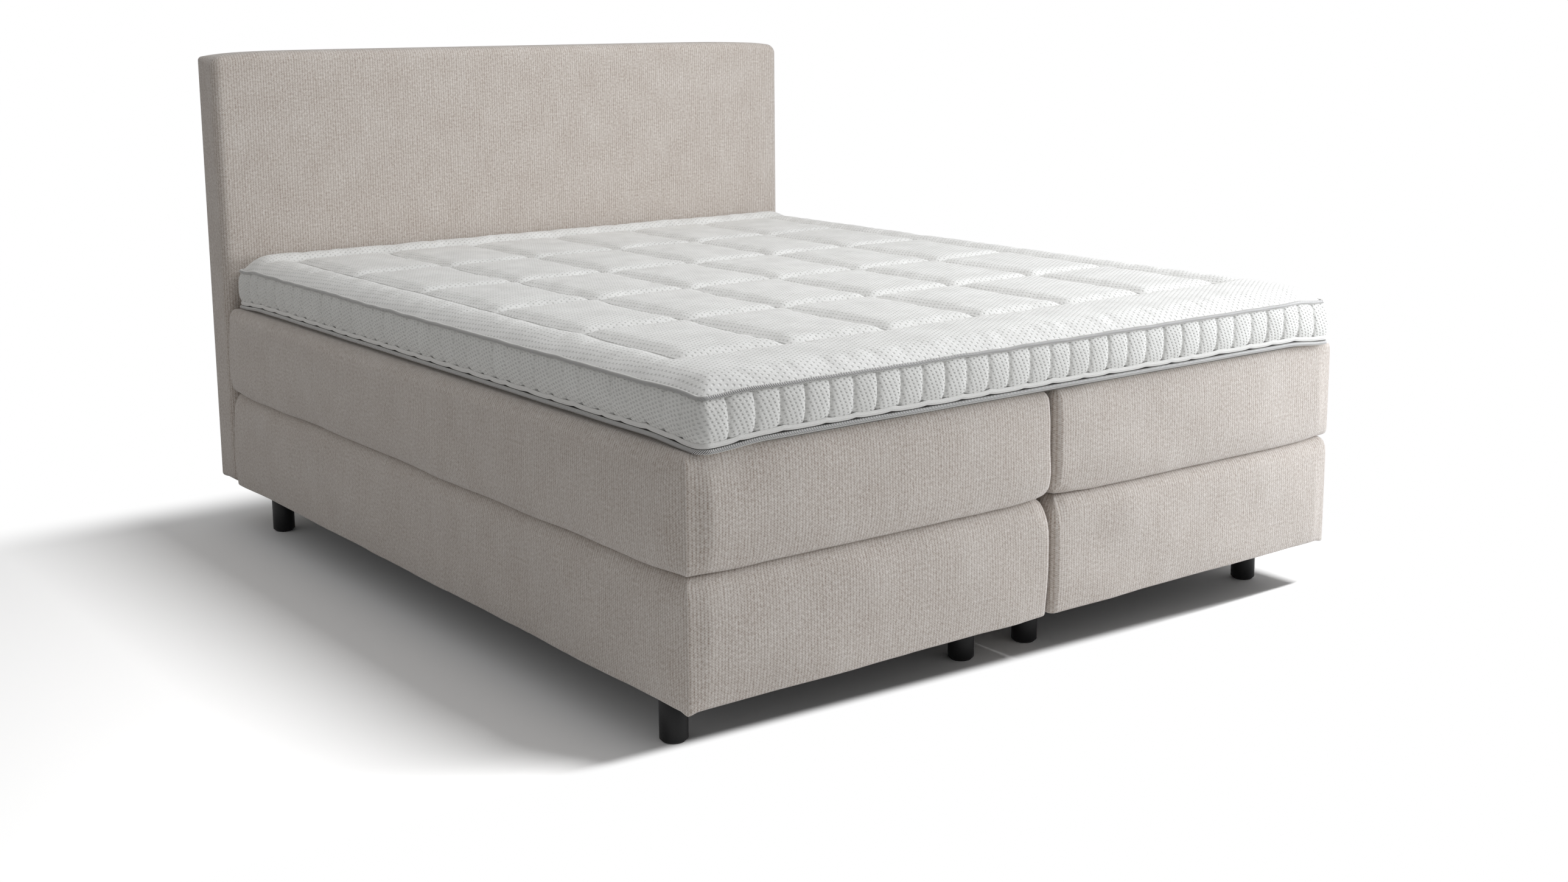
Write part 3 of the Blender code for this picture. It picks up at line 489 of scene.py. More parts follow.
def rolled_strip(outline, row_function, swell, close_top=True):
    """A grid rolled round an outline. row_function(column) gives the rows of that column."""
    rows = [row_function(column) for column in outline.columns]
    rows.append(rows[0])
    columns = outline.columns + [outline.columns[0]]
    high = len(rows[0])
    bm = bmesh.new()
    bmesh.ops.create_grid(bm, x_segments=outline.count, y_segments=high - 1, size=0.5)
    uv = bm.loops.layers.uv.new("cloth")
    places = {}
    middle_row = rows[len(rows) // 2]
    heights = [0.0]
    for a, b in zip(middle_row, middle_row[1:]):
        heights.append(heights[-1] + math.hypot(b[0] - a[0], b[1] - a[1]))
    for vertex in bm.verts:
        i = round((vertex.co.x + 0.5) * outline.count)
        j = round((vertex.co.y + 0.5) * (high - 1))
        column, (inset, z, out, up, share) = columns[i], rows[i][j]
        x, y = outline.place(column, inset)
        push = swell(column, inset, z, share, out)
        nx, ny = column["facing"]
        vertex.co = (x + nx * out * push, y + ny * out * push, z + up * push)
        places[vertex] = (i * outline.around / outline.count, heights[j])
    for face in bm.faces:
        for loop in face.loops:
            loop[uv].uv = places[loop.vert]
    ends = [v for v in bm.verts if places[v][0] in (0.0, outline.around)]
    bmesh.ops.remove_doubles(bm, verts=ends, dist=0.01 * mm)
    if close_top:
        rim = [v for v in bm.verts if places[v][1] == heights[-1]]
        rim.sort(key=lambda v: places[v][0])
        level = max(v.co.z for v in rim) - min(v.co.z for v in rim) < 0.1 * mm
        for corners in [rim] if level else short_triangles(rim):
            face = bm.faces.new(corners)
            face.smooth = True
            for loop in face.loops:
                loop[uv].uv = (loop.vert.co.x, loop.vert.co.y)
    bmesh.ops.recalc_face_normals(bm, faces=bm.faces)
    return bm


# %% [markdown]
# ## Bases and mattresses
# Both boxes are covered over foam on a firm body. The sewn corners at the outside of the
# foot end are crisp: the seam pulls the cloth in and the foam stands up again about 30 mm
# further on. The corners at the split have no seam and are soft. A base is stretched over
# a wooden frame and nearly flat, with a sloping band along its top edge. A mattress rolls
# over its lower edge and bellies out low down, because it carries its own filling.

# %% Swell of the boxes
def cloth_noise(seed, u, z, size):
    """A smooth noise between about -1 and 1 with bumps of that size, the same every run."""
    return noise.noise(Vector((u / size, z / size, seed)))


def box_swell(seed, amounts, sewn, low_belly, reach):
    """The push outwards at a point of the wall. amounts are the swell of each side."""
    def push(column, inset, z, share, out):
        u = column["u"]
        upright = 1 - abs(2 * share - 1) ** 3.0
        belly = low_belly * math.exp(-((share - 0.22) / 0.2) ** 2)
        # Further in, the corner gets tighter, and a groove deeper than its radius would turn
        # the cloth inside out.
        depth = min(seam_depth, 0.8 * max(sewn_radius - inset, 0.3 * mm))
        if column["arc"] and column["corner"] in sewn:
            return -depth * abs(out)
        # Round a corner without a seam, one side's swell goes over into the other's.
        across, crown, groove, amount = 1.0, 0.0, 0.0, amounts[column["side"]]
        if column["arc"]:
            following = Outline.sides[column["corner"] + 1]
            amount += (amounts[following] - amount) * eased(column["along"])
        else:
            before, after = column["before"], column["after"]
            crown = 0.3 * math.sin(math.pi * before / (before + after)) * upright
            start, end = corner_pairs[column["side"]]
            for corner, distance in ((start, before), (end, after)):
                if corner in sewn:
                    # The seam of a sewn corner lies in a narrow groove.
                    across *= eased(distance / reach)
                    groove += depth * math.exp(-(distance / (3.5 * mm)) ** 2)
        full = amount * (across * (upright + belly) + crown)
        # Long soft folds run aslant, and small ones where the filling is uneven.
        folds = (5.0 * cloth_noise(seed + 3, u + 0.7 * z, 1.5 * z, 0.22)
                 + 1.5 * cloth_noise(seed, u - 0.5 * z, z, 0.09)
                 + 0.4 * cloth_noise(seed + 7, u, z, 0.03))
        return abs(out) * (full + folds * across * min(amount / (5 * mm), 1.0) * mm - groove)
    return push


corner_pairs = {"left": (0, 1), "foot": (1, 2), "right": (2, 3), "head": (9, 9)}


def corner_closeness(column, reach):
    """1 at a corner of the outline, falling to 0 that far along the side."""
    return 1.0 if column["arc"] else 1 - eased(min(column["before"], column["after"]) / reach)


def nearest_corner(column):
    """The number of the corner that a column belongs to."""
    if column["arc"]:
        return column["corner"]
    start, end = {"head": (3, 0)}.get(column["side"], corner_pairs[column["side"]])
    return start if column["before"] < column["after"] else end


def split_closeness(column, side):
    """1 at the foot corner beside the split, where the cloth has no seam and is rounder."""
    split_corner = 2 if side == "left" else 1
    return corner_closeness(column, 26 * mm) * (nearest_corner(column) == split_corner)


# %% Make the bases and the mattresses
bed_half, split_half = 0.900, 0.005
foot_y, head_y = -1.1005, 0.9995
base_low, base_high = (corner.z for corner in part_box("base_left_cover"))
mattress_low, mattress_high = (corner.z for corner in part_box("mattress_left_cover"))
turned_under, top_reach = 25 * mm, 60 * mm
rib_columns = rib_pitch / 2
rim_height = 6 * mm
seam_depth = 1.8 * mm
sewn_radius = 4 * mm

for side, outer in (("left", 1), ("right", 2)):
    left, right = (-bed_half, -split_half) if side == "left" else (split_half, bed_half)
    radii = [10 * mm, sewn_radius, 16 * mm, 12 * mm]
    if side == "right":
        radii.reverse()
    outline = Outline((left, foot_y), (right, head_y), radii, rib_columns)
    seed = 3.0 if side == "left" else 11.0

    def base_rows(column):
        split = split_closeness(column, side)
        edge = 1 + 0.2 * cloth_noise(seed + 1, column["u"], 0, 0.16) + 0.5 * split
        rows = wall_rows(base_low, base_high, turned_under, (4 * mm, 5 * mm),
                         ((21 + 6 * split) * mm, 42 * mm * edge), top_reach, (3, 4, 12, 6, 3))
        # The folded cloth hangs a little lower at the sewn corner.
        drop = 4 * mm * corner_closeness(column, 22 * mm) * (nearest_corner(column) == outer)
        return [(i, z - drop * eased(1 - share / 0.12), o, n, share) for i, z, o, n, share in rows]

    def mattress_rows(column):
        split = split_closeness(column, side)
        edge = 1 + 0.15 * cloth_noise(seed + 2, column["u"], 0, 0.20) + 0.8 * split
        # Along its long sides the upper edge is rounder, so that it falls away from the topper.
        soft = 0.0 if column["side"] == "foot" else 9 * mm * (1 - corner_closeness(column, 0.06))
        rows = wall_rows(mattress_low, mattress_high, turned_under,
                         ((18 + 6 * split) * mm, 18 * mm * edge),
                         (15 * mm + soft, 20 * mm + soft), top_reach, (3, 6, 9, 6, 5))
        # Between its corners the lower roll hangs over the sloping edge of the base.
        sag = 5 * mm * (1 - corner_closeness(column, 0.12)) * (column["side"] != "head")
        # Between its corners the upper edge at the foot end stands up a little to the topper.
        rim = rim_height * (1 - corner_closeness(column, 0.13)) * (column["side"] == "foot")
        bent = []
        for i, z, o, n, share in rows:
            z += rim * eased((share - 0.8) / 0.2) * eased((48 * mm - i) / (30 * mm))
            z -= sag * math.exp(-((share - 0.03) / 0.06) ** 2) * eased((13 * mm - i) / (8 * mm))
            bent.append((i, z, o, n, share))
        return bent

    amounts = {"left": 6 * mm, "foot": 7 * mm, "right": 6 * mm, "head": 0.0}
    amounts["right" if side == "left" else "left"] = 1.4 * mm
    bm = rolled_strip(outline, base_rows, box_swell(seed, amounts, (outer,), 0.1, 50 * mm))
    put_in_scene(bm, f"base_{side}_upholstery", [upholstery], "bed", f"base_{side}_cover")
    amounts = {"left": 7.5 * mm, "foot": 9 * mm, "right": 7.5 * mm, "head": 0.0}
    amounts["right" if side == "left" else "left"] = 1.8 * mm
    bm = rolled_strip(outline, mattress_rows,
                      box_swell(seed + 20, amounts, (outer,), 0.35, 55 * mm))
    put_in_scene(bm, f"mattress_{side}_upholstery", [upholstery], "bed", f"mattress_{side}_cover")
    print(side, "covers:", outline.count, "columns,", round(outline.around, 3), "m round")

# %% [markdown]
# ## The headboard
# The headboard is one padded panel: the front and its edges are soft and round, and the
# back edge is firm, because the cloth is pulled over the wooden frame there and stapled on
# the back, 35 mm in. The strip that made the boxes makes this too. Its back is cut away
# inside the stapled border, where the black cloth closes it.

# %% Make the headboard cover
headboard_low, headboard_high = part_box("headboard_cover")
turned_edge = 35 * mm
back_round, front_round = 9 * mm, 24 * mm
board_outline = Outline((headboard_low.x, headboard_low.y), (headboard_high.x, headboard_high.y),
                        [9 * mm, 25 * mm, 25 * mm, 9 * mm], rib_columns)
# The cloth stands higher along the top than at the two corners, where it is folded.
crown, crown_run = 14 * mm, 70 * mm
depth = headboard_high.y - headboard_low.y


def headboard_rows(column):
    soft = front_round
    if column["side"] == "head" or (column["arc"] and column["corner"] in (0, 3)):
        soft = back_round
    elif column["side"] in ("left", "right") and not column["arc"]:
        from_back = column["before"] if column["side"] == "left" else column["after"]
        soft += (back_round - front_round) * (1 - eased(from_back / (0.5 * depth)))
    low_edge = min(soft, 14 * mm)
    rows = wall_rows(headboard_low.z, headboard_high.z, turned_edge, (low_edge, low_edge),
                     (soft, soft), 0.46 * depth, (2, 4, 26, 7, 3))
    raised = []
    for i, z, o, n, share in rows:
        end = headboard_high.x - abs(board_outline.place(column, i)[0])
        z += crown * (1 - math.exp(-end / crown_run)) * eased((share - 0.9) / 0.1)
        raised.append((i, z, o, n, share))
    return raised


def headboard_swell(column, inset, z, share, out):
    u = column["u"]
    if column["side"] != "foot" or column["arc"]:
        bow = 0.0
        if column["side"] in ("left", "right") and not column["arc"]:
            bow = 1.5 * mm * abs(out) * cloth_noise(51.0, z, u, 0.3)
        return bow
    across = math.sin(math.pi * column["before"] / (column["before"] + column["after"])) ** 0.4
    upright = max(0.0, 1 - abs(2 * share - 1) ** 4.0)
    creases = 0.8 * cloth_noise(41.0, u, z, 0.25) + 0.3 * cloth_noise(42.0, u, z, 0.06)
    return abs(out) * across * upright * (3.0 + creases) * mm


bm = rolled_strip(board_outline, headboard_rows, headboard_swell)
inside = [f for f in bm.faces if all(
    v.co.y > headboard_high.y - 2 * mm and abs(v.co.x) < headboard_high.x - turned_edge + 2 * mm
    and headboard_low.z + turned_edge < v.co.z < headboard_high.z - turned_edge for v in f.verts)]
bmesh.ops.delete(bm, geom=inside, context="FACES")
put_in_scene(bm, "headboard_upholstery", [upholstery], "bed", "headboard_cover")
print("headboard:", board_outline.count, "columns")

# %% [markdown]
# ## The knitted cloth of the topper
# The topper wears a white double knit with a thin layer of wadding sewn behind it. Small
# oval dimples stand in slanting rows where the two layers are knitted together.

# %% Knit
def knit_cloth(name, colour, shade, waves, uv_map="", sewn=False):
    """White double knit. Its fine stitches are drawn 1.2 mm wide so that they still show."""
    finish, tree, shader, place = new_finish(name, 0.85, uv_map, Sheen_Weight=0.15,
                                             Sheen_Roughness=0.5)
    stitch = add_node(tree, "TexNoise", Vector=place, Scale=820.0, Detail=1.0)
    cloud = add_node(tree, "TexNoise", Vector=place, Scale=14.0, Detail=2.0)
    meeting = -0.3
    for a, b in waves:
        walk = add_node(tree, "VectorMath", place, (2 * math.pi * a, 2 * math.pi * b, 0),
                        operation="DOT_PRODUCT").outputs["Value"]
        crest = add_node(tree, "Math", walk, operation="COSINE")
        meeting = add_node(tree, "Math", crest, meeting, operation="ADD")
    # Where all three waves meet, the two layers are knitted together and leave a small pit.
    pit = add_node(tree, "MapRange", Value=meeting, From_Min=0.0, From_Max=3.0,
                   interpolation_type="SMOOTHSTEP")
    # A pit is drawn a little darker than the cloth round it: painted shade in the hollow.
    tones = [(stitch, 0.6), (cloud, 0.4), (pit, -0.04)]
    heights = [(stitch, 0.15), (pit, -1.0)]
    if sewn:
        # A quilting seam is a sharp crease, a few mm wide, and lies in its own shade.
        seam = add_node(tree, "Attribute", attribute_name="seam_distance").outputs["Fac"]
        crease = add_node(tree, "MapRange", Value=seam, From_Min=5 * mm, From_Max=0.5 * mm,
                          interpolation_type="SMOOTHSTEP")
        tones.append((crease, -0.3))
        heights.append((crease, -1.5))
    surface(tree, shader, total(tree, 0.0, *tones), [(0.1, shade), (0.6, colour)],
            total(tree, 0.0, *heights), 1.8 * mm)
    return finish


# Waves of the dimples in cycles per metre, on the top and, closer together, on the border.
top_waves = ((87.0, 6.8), (55.4, -83.7), (-31.7, -90.5))
border_waves = ((93.5, 46.8), (46.7, -119.6), (46.8, 166.4))
top_knit = knit_cloth("white_double_knit", "#f3f3f1", "#c9c8c5", top_waves, sewn=True)
border_knit = knit_cloth("white_border_knit", "#ecece9", "#cfceca", border_waves, "cloth")

# %% [markdown]
# ## The quilted top
# The top is sewn into six by five cells inside a plain margin. Each cell is a pillow: flat
# in the middle and round near its seams, where the thread pulls the wadding down. The
# seams wander a little, as they do on a quilting machine with a soft cloth. The surface is
# one grid with its lines bent so that every seam falls on one. Blown up as a cloth that is
# held along its seams, it gets the small creases that run into them, which a drawn curve
# doesn't have.

# %% Shape of the quilted top
panel_low, panel_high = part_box("topper_top_panel")
seam_x = [-0.7572 + 0.2524 * k for k in range(7)]
seam_y = [-0.8832 + 0.3529 * k for k in range(6)]
panel_edge_height = 0.6945
pillow_height, shoulder = 11 * mm, 26 * mm
stretch_steps = {"x": [9] + [21] * 6 + [9], "y": [19] + [29] * 5 + [9]}


def stations(low, seams, high, steps):
    """Coordinates of the grid lines, so that each seam falls on one of them."""
    stops = [low] + seams + [high]
    values = [low]
    for a, b, count in zip(stops, stops[1:], steps):
        values += [a + (b - a) * k / count for k in range(1, count + 1)]
    return values


def seam_distance(value, seams):
    return min(abs(value - seam) for seam in seams)


def seam_edge_distance(p, q):
    """How far a point of the margin is from the outermost seam."""
    return math.hypot(max(seam_x[0] - p, p - seam_x[-1], 0.0),
                      max(seam_y[0] - q, q - seam_y[-1], 0.0))


def pillow(away, reach):
    """0 at a seam and 1 where the pillow is flat. reach is how far its round shoulder goes."""
    return 1.0 if away >= reach else math.sqrt(max(0.0, 1 - (1 - away / reach) ** 2))


def top_height(p, q):
    """Height of the quilted top at a point of the unbent grid."""
    edge = min(p - panel_low.x, panel_high.x - p, q - panel_low.y, panel_high.y - q)
    ground = panel_edge_height + 12 * mm * (1 - math.exp(-edge / (35 * mm)))
    outside = seam_edge_distance(p, q)
    if outside:
        full = pillow(outside, 50 * mm) * (1 - (1 - min(edge / (45 * mm), 1.0)) ** 2)
        # The margin at the head end is squeezed against the headboard and stands higher.
        full *= 1.2 + 1.0 * eased((q - seam_y[-1]) / (60 * mm))
    else:
        from_x, from_y = seam_distance(p, seam_x), seam_distance(q, seam_y)
        full = pillow(from_x, shoulder) * pillow(from_y, shoulder)
        full += 0.25 * min(from_x / (90 * mm), 1.0) * min(from_y / (120 * mm), 1.0)
    return ground + pillow_height * full


# %% Lay out the quilted top
grid_x = stations(panel_low.x, seam_x, panel_high.x, stretch_steps["x"])
grid_y = stations(panel_low.y, seam_y, panel_high.y, stretch_steps["y"])
bm = bmesh.new()
bmesh.ops.create_grid(bm, x_segments=len(grid_x) - 1, y_segments=len(grid_y) - 1, size=0.5)
corner_radius = 7 * mm
wander = 7 * mm
layer = bm.verts.layers.float.new("seam_distance")
held = []
for vertex in bm.verts:
    i = round((vertex.co.x + 0.5) * (len(grid_x) - 1))
    j = round((vertex.co.y + 0.5) * (len(grid_y) - 1))
    p, q = grid_x[i], grid_y[j]
    edge_x = min(p - panel_low.x, panel_high.x - p)
    edge_y = min(q - panel_low.y, panel_high.y - q)
    inner = min(edge_x, edge_y, 60 * mm) / (60 * mm)
    x = p + wander * inner * cloth_noise(2.0, p, q, 0.16)
    y = q + wander * inner * cloth_noise(9.0, p, q, 0.16)
    z = top_height(p, q)
    # A square corner becomes a round one: points move in along their own ray.
    over_x, over_y = corner_radius - edge_x, corner_radius - edge_y
    away_x, away_y = math.copysign(1, p), math.copysign(1, q + 0.06)
    if over_x > 0 and over_y > 0:
        scale = max(over_x, over_y) / math.hypot(over_x, over_y)
        x -= away_x * over_x * (1 - scale)
        y -= away_y * over_y * (1 - scale)
    # The corners of the top are drawn in and down with the cord.
    near = (1 - eased(edge_x / 0.17)) * (1 - eased(edge_y / 0.17))
    low = (1 - eased(edge_x / 0.10)) * (1 - eased(edge_y / 0.10))
    pull = (3 if away_y > 0 else 11) * mm * near
    vertex.co = (x - away_x * pull, y - away_y * pull, z - 6.5 * mm * low)
    in_cells = seam_x[0] - mm < p < seam_x[-1] + mm and seam_y[0] - mm < q < seam_y[-1] + mm
    to_seam = min(seam_distance(p, seam_x), seam_distance(q, seam_y))
    sewn = in_cells and to_seam < mm
    vertex[layer] = min(to_seam if in_cells else seam_edge_distance(p, q), 30 * mm)
    if sewn or min(edge_x, edge_y) < 14 * mm:
        held.append(vertex.index)
print("grid lines:", len(grid_x), "by", len(grid_y), "held points:", len(held))
top = put_in_scene(bm, "topper_quilted_top", [top_knit], "topper")

# %% [markdown]
# The cloth is held along its seams and at its edge, and a light pressure from below fills
# it. It is cut 1.2% larger than the space it has, so it has to crease near the seams. No
# point may end further from its drawn place than the wadding would let it.

# %% Blow up the quilted top
def inflated(piece, held, pressure, slack, cap):
    """Fills a padded cloth for 20 frames and gives the moves to its mesh."""
    group = piece.vertex_groups.new(name="held")
    group.add(held, 1.0, "ADD")
    cloth = piece.modifiers.new("cloth", "CLOTH")
    settings = cloth.settings
    settings.quality = 4
    settings.mass = 0.2
    settings.tension_stiffness = settings.compression_stiffness = 12
    settings.shear_stiffness = 4
    settings.bending_stiffness = 0.3
    settings.shrink_min = settings.shrink_max = -slack
    settings.vertex_group_mass = "held"
    settings.use_pressure = True
    settings.uniform_pressure_force = pressure
    settings.effector_weights.gravity = 0
    cloth.collision_settings.use_collision = False
    scene = bpy.context.scene
    for number in range(1, 21):
        scene.frame_set(number)
    filled = piece.evaluated_get(bpy.context.evaluated_depsgraph_get())
    moves = [a.co - b.co for a, b in zip(filled.data.vertices, piece.data.vertices)]
    piece.modifiers.remove(cloth)
    piece.vertex_groups.remove(group)
    scene.frame_set(1)
    for vertex, move in zip(piece.data.vertices, moves):
        if move.length > cap:
            move = move * (cap / move.length)
        vertex.co += move
    print(piece.name, "moved by up to", round(max(m.length for m in moves) * 1000, 1), "mm")


inflated(top, held, 4.0, 0.012, 3 * mm)
rounding = top.modifiers.new("rounding", "SUBSURF")
rounding.levels = rounding.render_levels = 1
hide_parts("topper_top_panel")

# %% [markdown]
# ## The border of the topper
# The border is the same knit, sewn in upright channels about 56 mm wide. Its dimples are
# closer together than on the top. Near each corner one wider pillow stays plain.

# %% Heights of the two cords
top_cord_z, bottom_cord_z = 0.6928, 0.5931
zip_hem_z, lining_z = 0.5984, 0.5915


def top_cord_height(column):
    ripple = (1.2 * mm * cloth_noise(61.0, column["u"], 0, 0.22)
              + 1.8 * mm * cloth_noise(63.0, column["u"], 0, 0.06))
    return top_cord_z + ripple - 7.0 * mm * corner_closeness(column, 0.10)


def top_pull(column):
    """How far the top edge is drawn in towards the middle of the topper. It is most at a
    corner, where the cord is sewn round under tension."""
    return (3 if nearest_corner(column) in (0, 3) else 11) * mm * corner_closeness(column, 0.17)


def bottom_cord_height(column):
    if column["side"] == "right" and not column["arc"]:
        return bottom_cord_z
    rise = (8 if column["side"] == "foot" else 6) * mm
    ripple = 1.0 * mm * cloth_noise(62.0, column["u"], 0, 0.18)
    return bottom_cord_z + (rise + ripple) * (1 - corner_closeness(column, 0.13))


# %% Make the border
border_low, border_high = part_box("topper_border")
border_outline = Outline((border_low.x + mm, border_low.y + mm),
                         (border_high.x - mm, border_high.y - mm), [22 * mm] * 4, 2.85 * mm)
channel_pitch = 56 * mm
catch_pitch = 85 * mm


def hem_height(column):
    """The hem's lower edge. It hangs at the corners, rises in the runs and is caught up in
    points where the thread pulls it. Beside the zip it stays straight."""
    near = corner_closeness(column, 0.05)
    if column["side"] == "right" and not column["arc"]:
        return zip_hem_z + 9.6 * mm * (1 - corner_closeness(column, 0.04))
    uneven = 0.35 * cloth_noise(71.0, column["u"], 0, 0.15)
    catch = abs(math.sin(math.pi * (column["u"] / catch_pitch + uneven)))
    return bottom_cord_height(column) + 5.3 * mm + 2.6 * mm * (1 - catch) ** 2 * (1 - near)


def border_rows(column):
    low, high = hem_height(column) + 9 * mm, top_cord_height(column) - 1 * mm
    rows = 27
    pull = top_pull(column)
    return [(pull * (k / rows) ** 1.5, low + (high - low) * k / rows, 1.0, 0.0, k / rows)
            for k in range(rows + 1)]


def border_swell(column, inset, z, share, out):
    u = column["u"]
    channels = round(border_outline.around / channel_pitch)
    pitch = border_outline.around / channels
    bent = u + 2.5 * mm * math.sin(math.pi * share) * noise.noise(Vector((u / 0.08, 3.0, 0.0)))
    t = (bent / pitch) % 1.0
    # The pillow at a corner has no seam in it.
    channel = (1 - abs(2 * t - 1) ** 3.5) ** 0.5
    channel += (1 - channel) * corner_closeness(column, 0.05)
    upright = (1 - abs(2 * share - 1) ** 3.0)
    up = z - hem_height(column) - 9 * mm
    total = sum(math.cos(2 * math.pi * (a * u + b * up)) for a, b in border_waves)
    dimple = eased((total + 0.3) / 3.3) * 1.1 * mm
    return -7.5 * mm + (6.0 * channel + 8.0 * upright) * mm - dimple * channel


bm = rolled_strip(border_outline, border_rows, border_swell, close_top=False)
put_in_scene(bm, "topper_sewn_border", [border_knit], "topper", "topper_border")

# %% [markdown]
# Under the channels runs a narrow hem of plain cream tape, sewn with two rows of stitches.
# Behind it, a flat band of lining joins the border to the underside; it lies deep in the
# shade between the hem and the lower cord, and its dark grey is painted shade.

# %% Hem and lining
hem_tape, tree, shader, cloth = new_finish("cream_cotton_tape", 0.85, "cloth")
ribbing = wave(tree, add_node(tree, "SeparateXYZ", cloth).outputs[0], 1.6 * mm)
fibre = add_node(tree, "TexNoise", Vector=cloth, Scale=700.0, Detail=1.0)
surface(tree, shader, fibre, [(0.3, "#deddda"), (0.7, "#f1f0ed")],
        total(tree, fibre, (ribbing, 0.2)), 0.3 * mm)
# Dark grey: painted shade on the topper's band; the mattresses' hidden undersides wear it too.
grey_lining_and_shade = speckled("grey_lining_and_painted_shade", 0.9, 900.0, 1.0, "#6f6e6c", "#8d8c89")


def hem_rows(column):
    low = hem_height(column)
    return [(0.0, low + 10 * mm * k / 12, 1.0, 0.0, k / 12) for k in range(13)]


def hem_swell(column, inset, z, share, out):
    stitches = sum(math.exp(-((share - row) / 0.08) ** 2) for row in (0.28, 0.72))
    return (-1.0 + 2.4 * math.sqrt(max(0.0, 1 - (2 * share - 1) ** 2)) - 0.7 * stitches) * mm


bm = rolled_strip(border_outline, hem_rows, hem_swell, close_top=False)
put_in_scene(bm, "topper_hem", [hem_tape], "topper")


def lining_rows(column):
    low, high = lining_z, hem_height(column) + 4 * mm
    return [(11.4 * mm, low + (high - low) * k / 3, 1.0, 0.0, k / 3) for k in range(4)]


bm = rolled_strip(border_outline, lining_rows, unswollen, close_top=False)
put_in_scene(bm, "topper_lining_band", [grey_lining_and_shade], "topper")

# %% [markdown]
# ## The twisted cords
# A cord of twelve thin strands covers both seams of the border. Every other strand lies
# deeper, in a groove of the twist, and is drawn dark grey, which is painted shade; the
# raised ones are white. A twisted cord is a star-shaped cut that turns as it goes along its
# path. A curve with a bevel could make it, but a grid rolled into a tube gives every strand
# its own row of vertices, which also carry whether the strand is raised or in a groove. The
# number of rings is a multiple of twelve, so that the two ends of the closed cord meet
# strand to strand.

# %% Cord finish and shape
cord_yarn, tree, shader, place = new_finish("twisted_polyester_yarn", 0.5, Sheen_Weight=0.2)
twist_ridge = add_node(tree, "Attribute", attribute_name="twist_ridge").outputs["Fac"]
# Grooves dark grey, ridges white: the dark is painted shade.
surface(tree, shader, twist_ridge, [(0.42, "#464548"), (0.58, "#f2f1ee")])
cord_radius = 4.6 * mm
cord_lay = 23 * mm
strands = 12


def twisted_cord(name, height_function, pull, node):
    low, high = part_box(node)
    middle = 4.5 * mm
    path = Outline((low.x + middle, low.y + middle), (high.x - middle, high.y - middle),
                   [22 * mm] * 4, cord_lay / strands)
    rings = path.count // strands * strands
    centres = []
    for k in range(rings + 1):
        column = path.column((k % rings) / rings)
        centres.append(Vector((*path.place(column, pull(column)), height_function(column))))
    bm = bmesh.new()
    bmesh.ops.create_grid(bm, x_segments=rings, y_segments=strands, size=0.5)
    layer = bm.verts.layers.float.new("twist_ridge")
    for vertex in bm.verts:
        ring = round((vertex.co.x + 0.5) * rings)
        row = round((vertex.co.y + 0.5) * strands)
        ahead, behind = centres[(ring + 1) % rings], centres[(ring - 1) % rings]
        along = (ahead - behind).normalized()
        outward = along.cross(Vector((0, 0, 1))).normalized()
        upward = outward.cross(along)
        angle = 2 * math.pi * (row + ring) / strands
        # Every other row lies deeper, in a groove, and is marked for the painted shade.
        radius = cord_radius * (1.0 if row % 2 else 0.88)
        vertex.co = centres[ring] + radius * (math.cos(angle) * outward + math.sin(angle) * upward)
        vertex[layer] = row % 2
    bmesh.ops.remove_doubles(bm, verts=[v for v in bm.verts if v.is_boundary], dist=0.01 * mm)
    bmesh.ops.recalc_face_normals(bm, faces=bm.faces)
    put_in_scene(bm, name, [cord_yarn], "topper", node)


twisted_cord("topper_top_cord", top_cord_height, top_pull, "topper_top_piping")
twisted_cord("topper_bottom_cord", bottom_cord_height, lambda column: 0.0, "topper_bottom_piping")

# %% [markdown]
# ## Metal parts
# The leg studs, the brackets and the strap between the bases are steel with a bright zinc
# plating, which is a little mottled. The zip's slider and pull are polished nickel.

# %% Metal finishes
zinc_plate = speckled("bright_zinc_plated_steel", 0.22, 180.0, 3.0, "#a9acb0", "#c9ccd0",
                      spread=0.25, Metallic=1.0)
nickel = speckled("polished_nickel", 0.12, 900.0, 2.0, "#b9b4a8", "#d6d2c6", spread=0.2,
                  Metallic=1.0)

# %% [markdown]
# ## Legs
# Turned from black moulded plastic: a plain cylinder with a rounded foot.

# %% Make the legs
black_plastic = speckled("black_moulded_plastic", 0.6, 700.0, 2.0, "#0b0b0c", "#161617",
                         depth=0.15 * mm, Specular_IOR_Level=0.3)
leg_shoulder = 119.4 * mm
foot_round = 6 * mm
stud_radius = 4 * mm

for side in ("left", "right"):
    for end in ("foot_outer", "foot_inner", "head_outer", "head_inner"):
        node = f"leg_{side}_{end}"
        low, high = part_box(node)
        centre = (low + high) / 2
        radius = (high.x - low.x) / 2
        bm = bmesh.new()
        outline_points = [(0, 0), (radius - foot_round, 0), (radius, foot_round),
                          (radius, leg_shoulder), (stud_radius, leg_shoulder),
                          (stud_radius, high.z), (0, high.z)]
        verts = [bm.verts.new((centre.x + r, centre.y, z)) for r, z in outline_points]
        for a, b in zip(verts, verts[1:]):
            bm.edges.new((a, b))
        bmesh.ops.spin(bm, geom=bm.verts[:] + bm.edges[:], cent=(centre.x, centre.y, 0),
                       axis=(0, 0, 1), angle=2 * math.pi, steps=48, use_merge=True)
        bmesh.ops.remove_doubles(bm, verts=bm.verts, dist=0.01 * mm)
        bmesh.ops.recalc_face_normals(bm, faces=bm.faces)
        for face in bm.faces:
            face.material_index = int(face.calc_center_median().z > leg_shoulder + 0.2 * mm)
        put_in_scene(bm, node + "_turned", [black_plastic, zinc_plate], "bed", node)

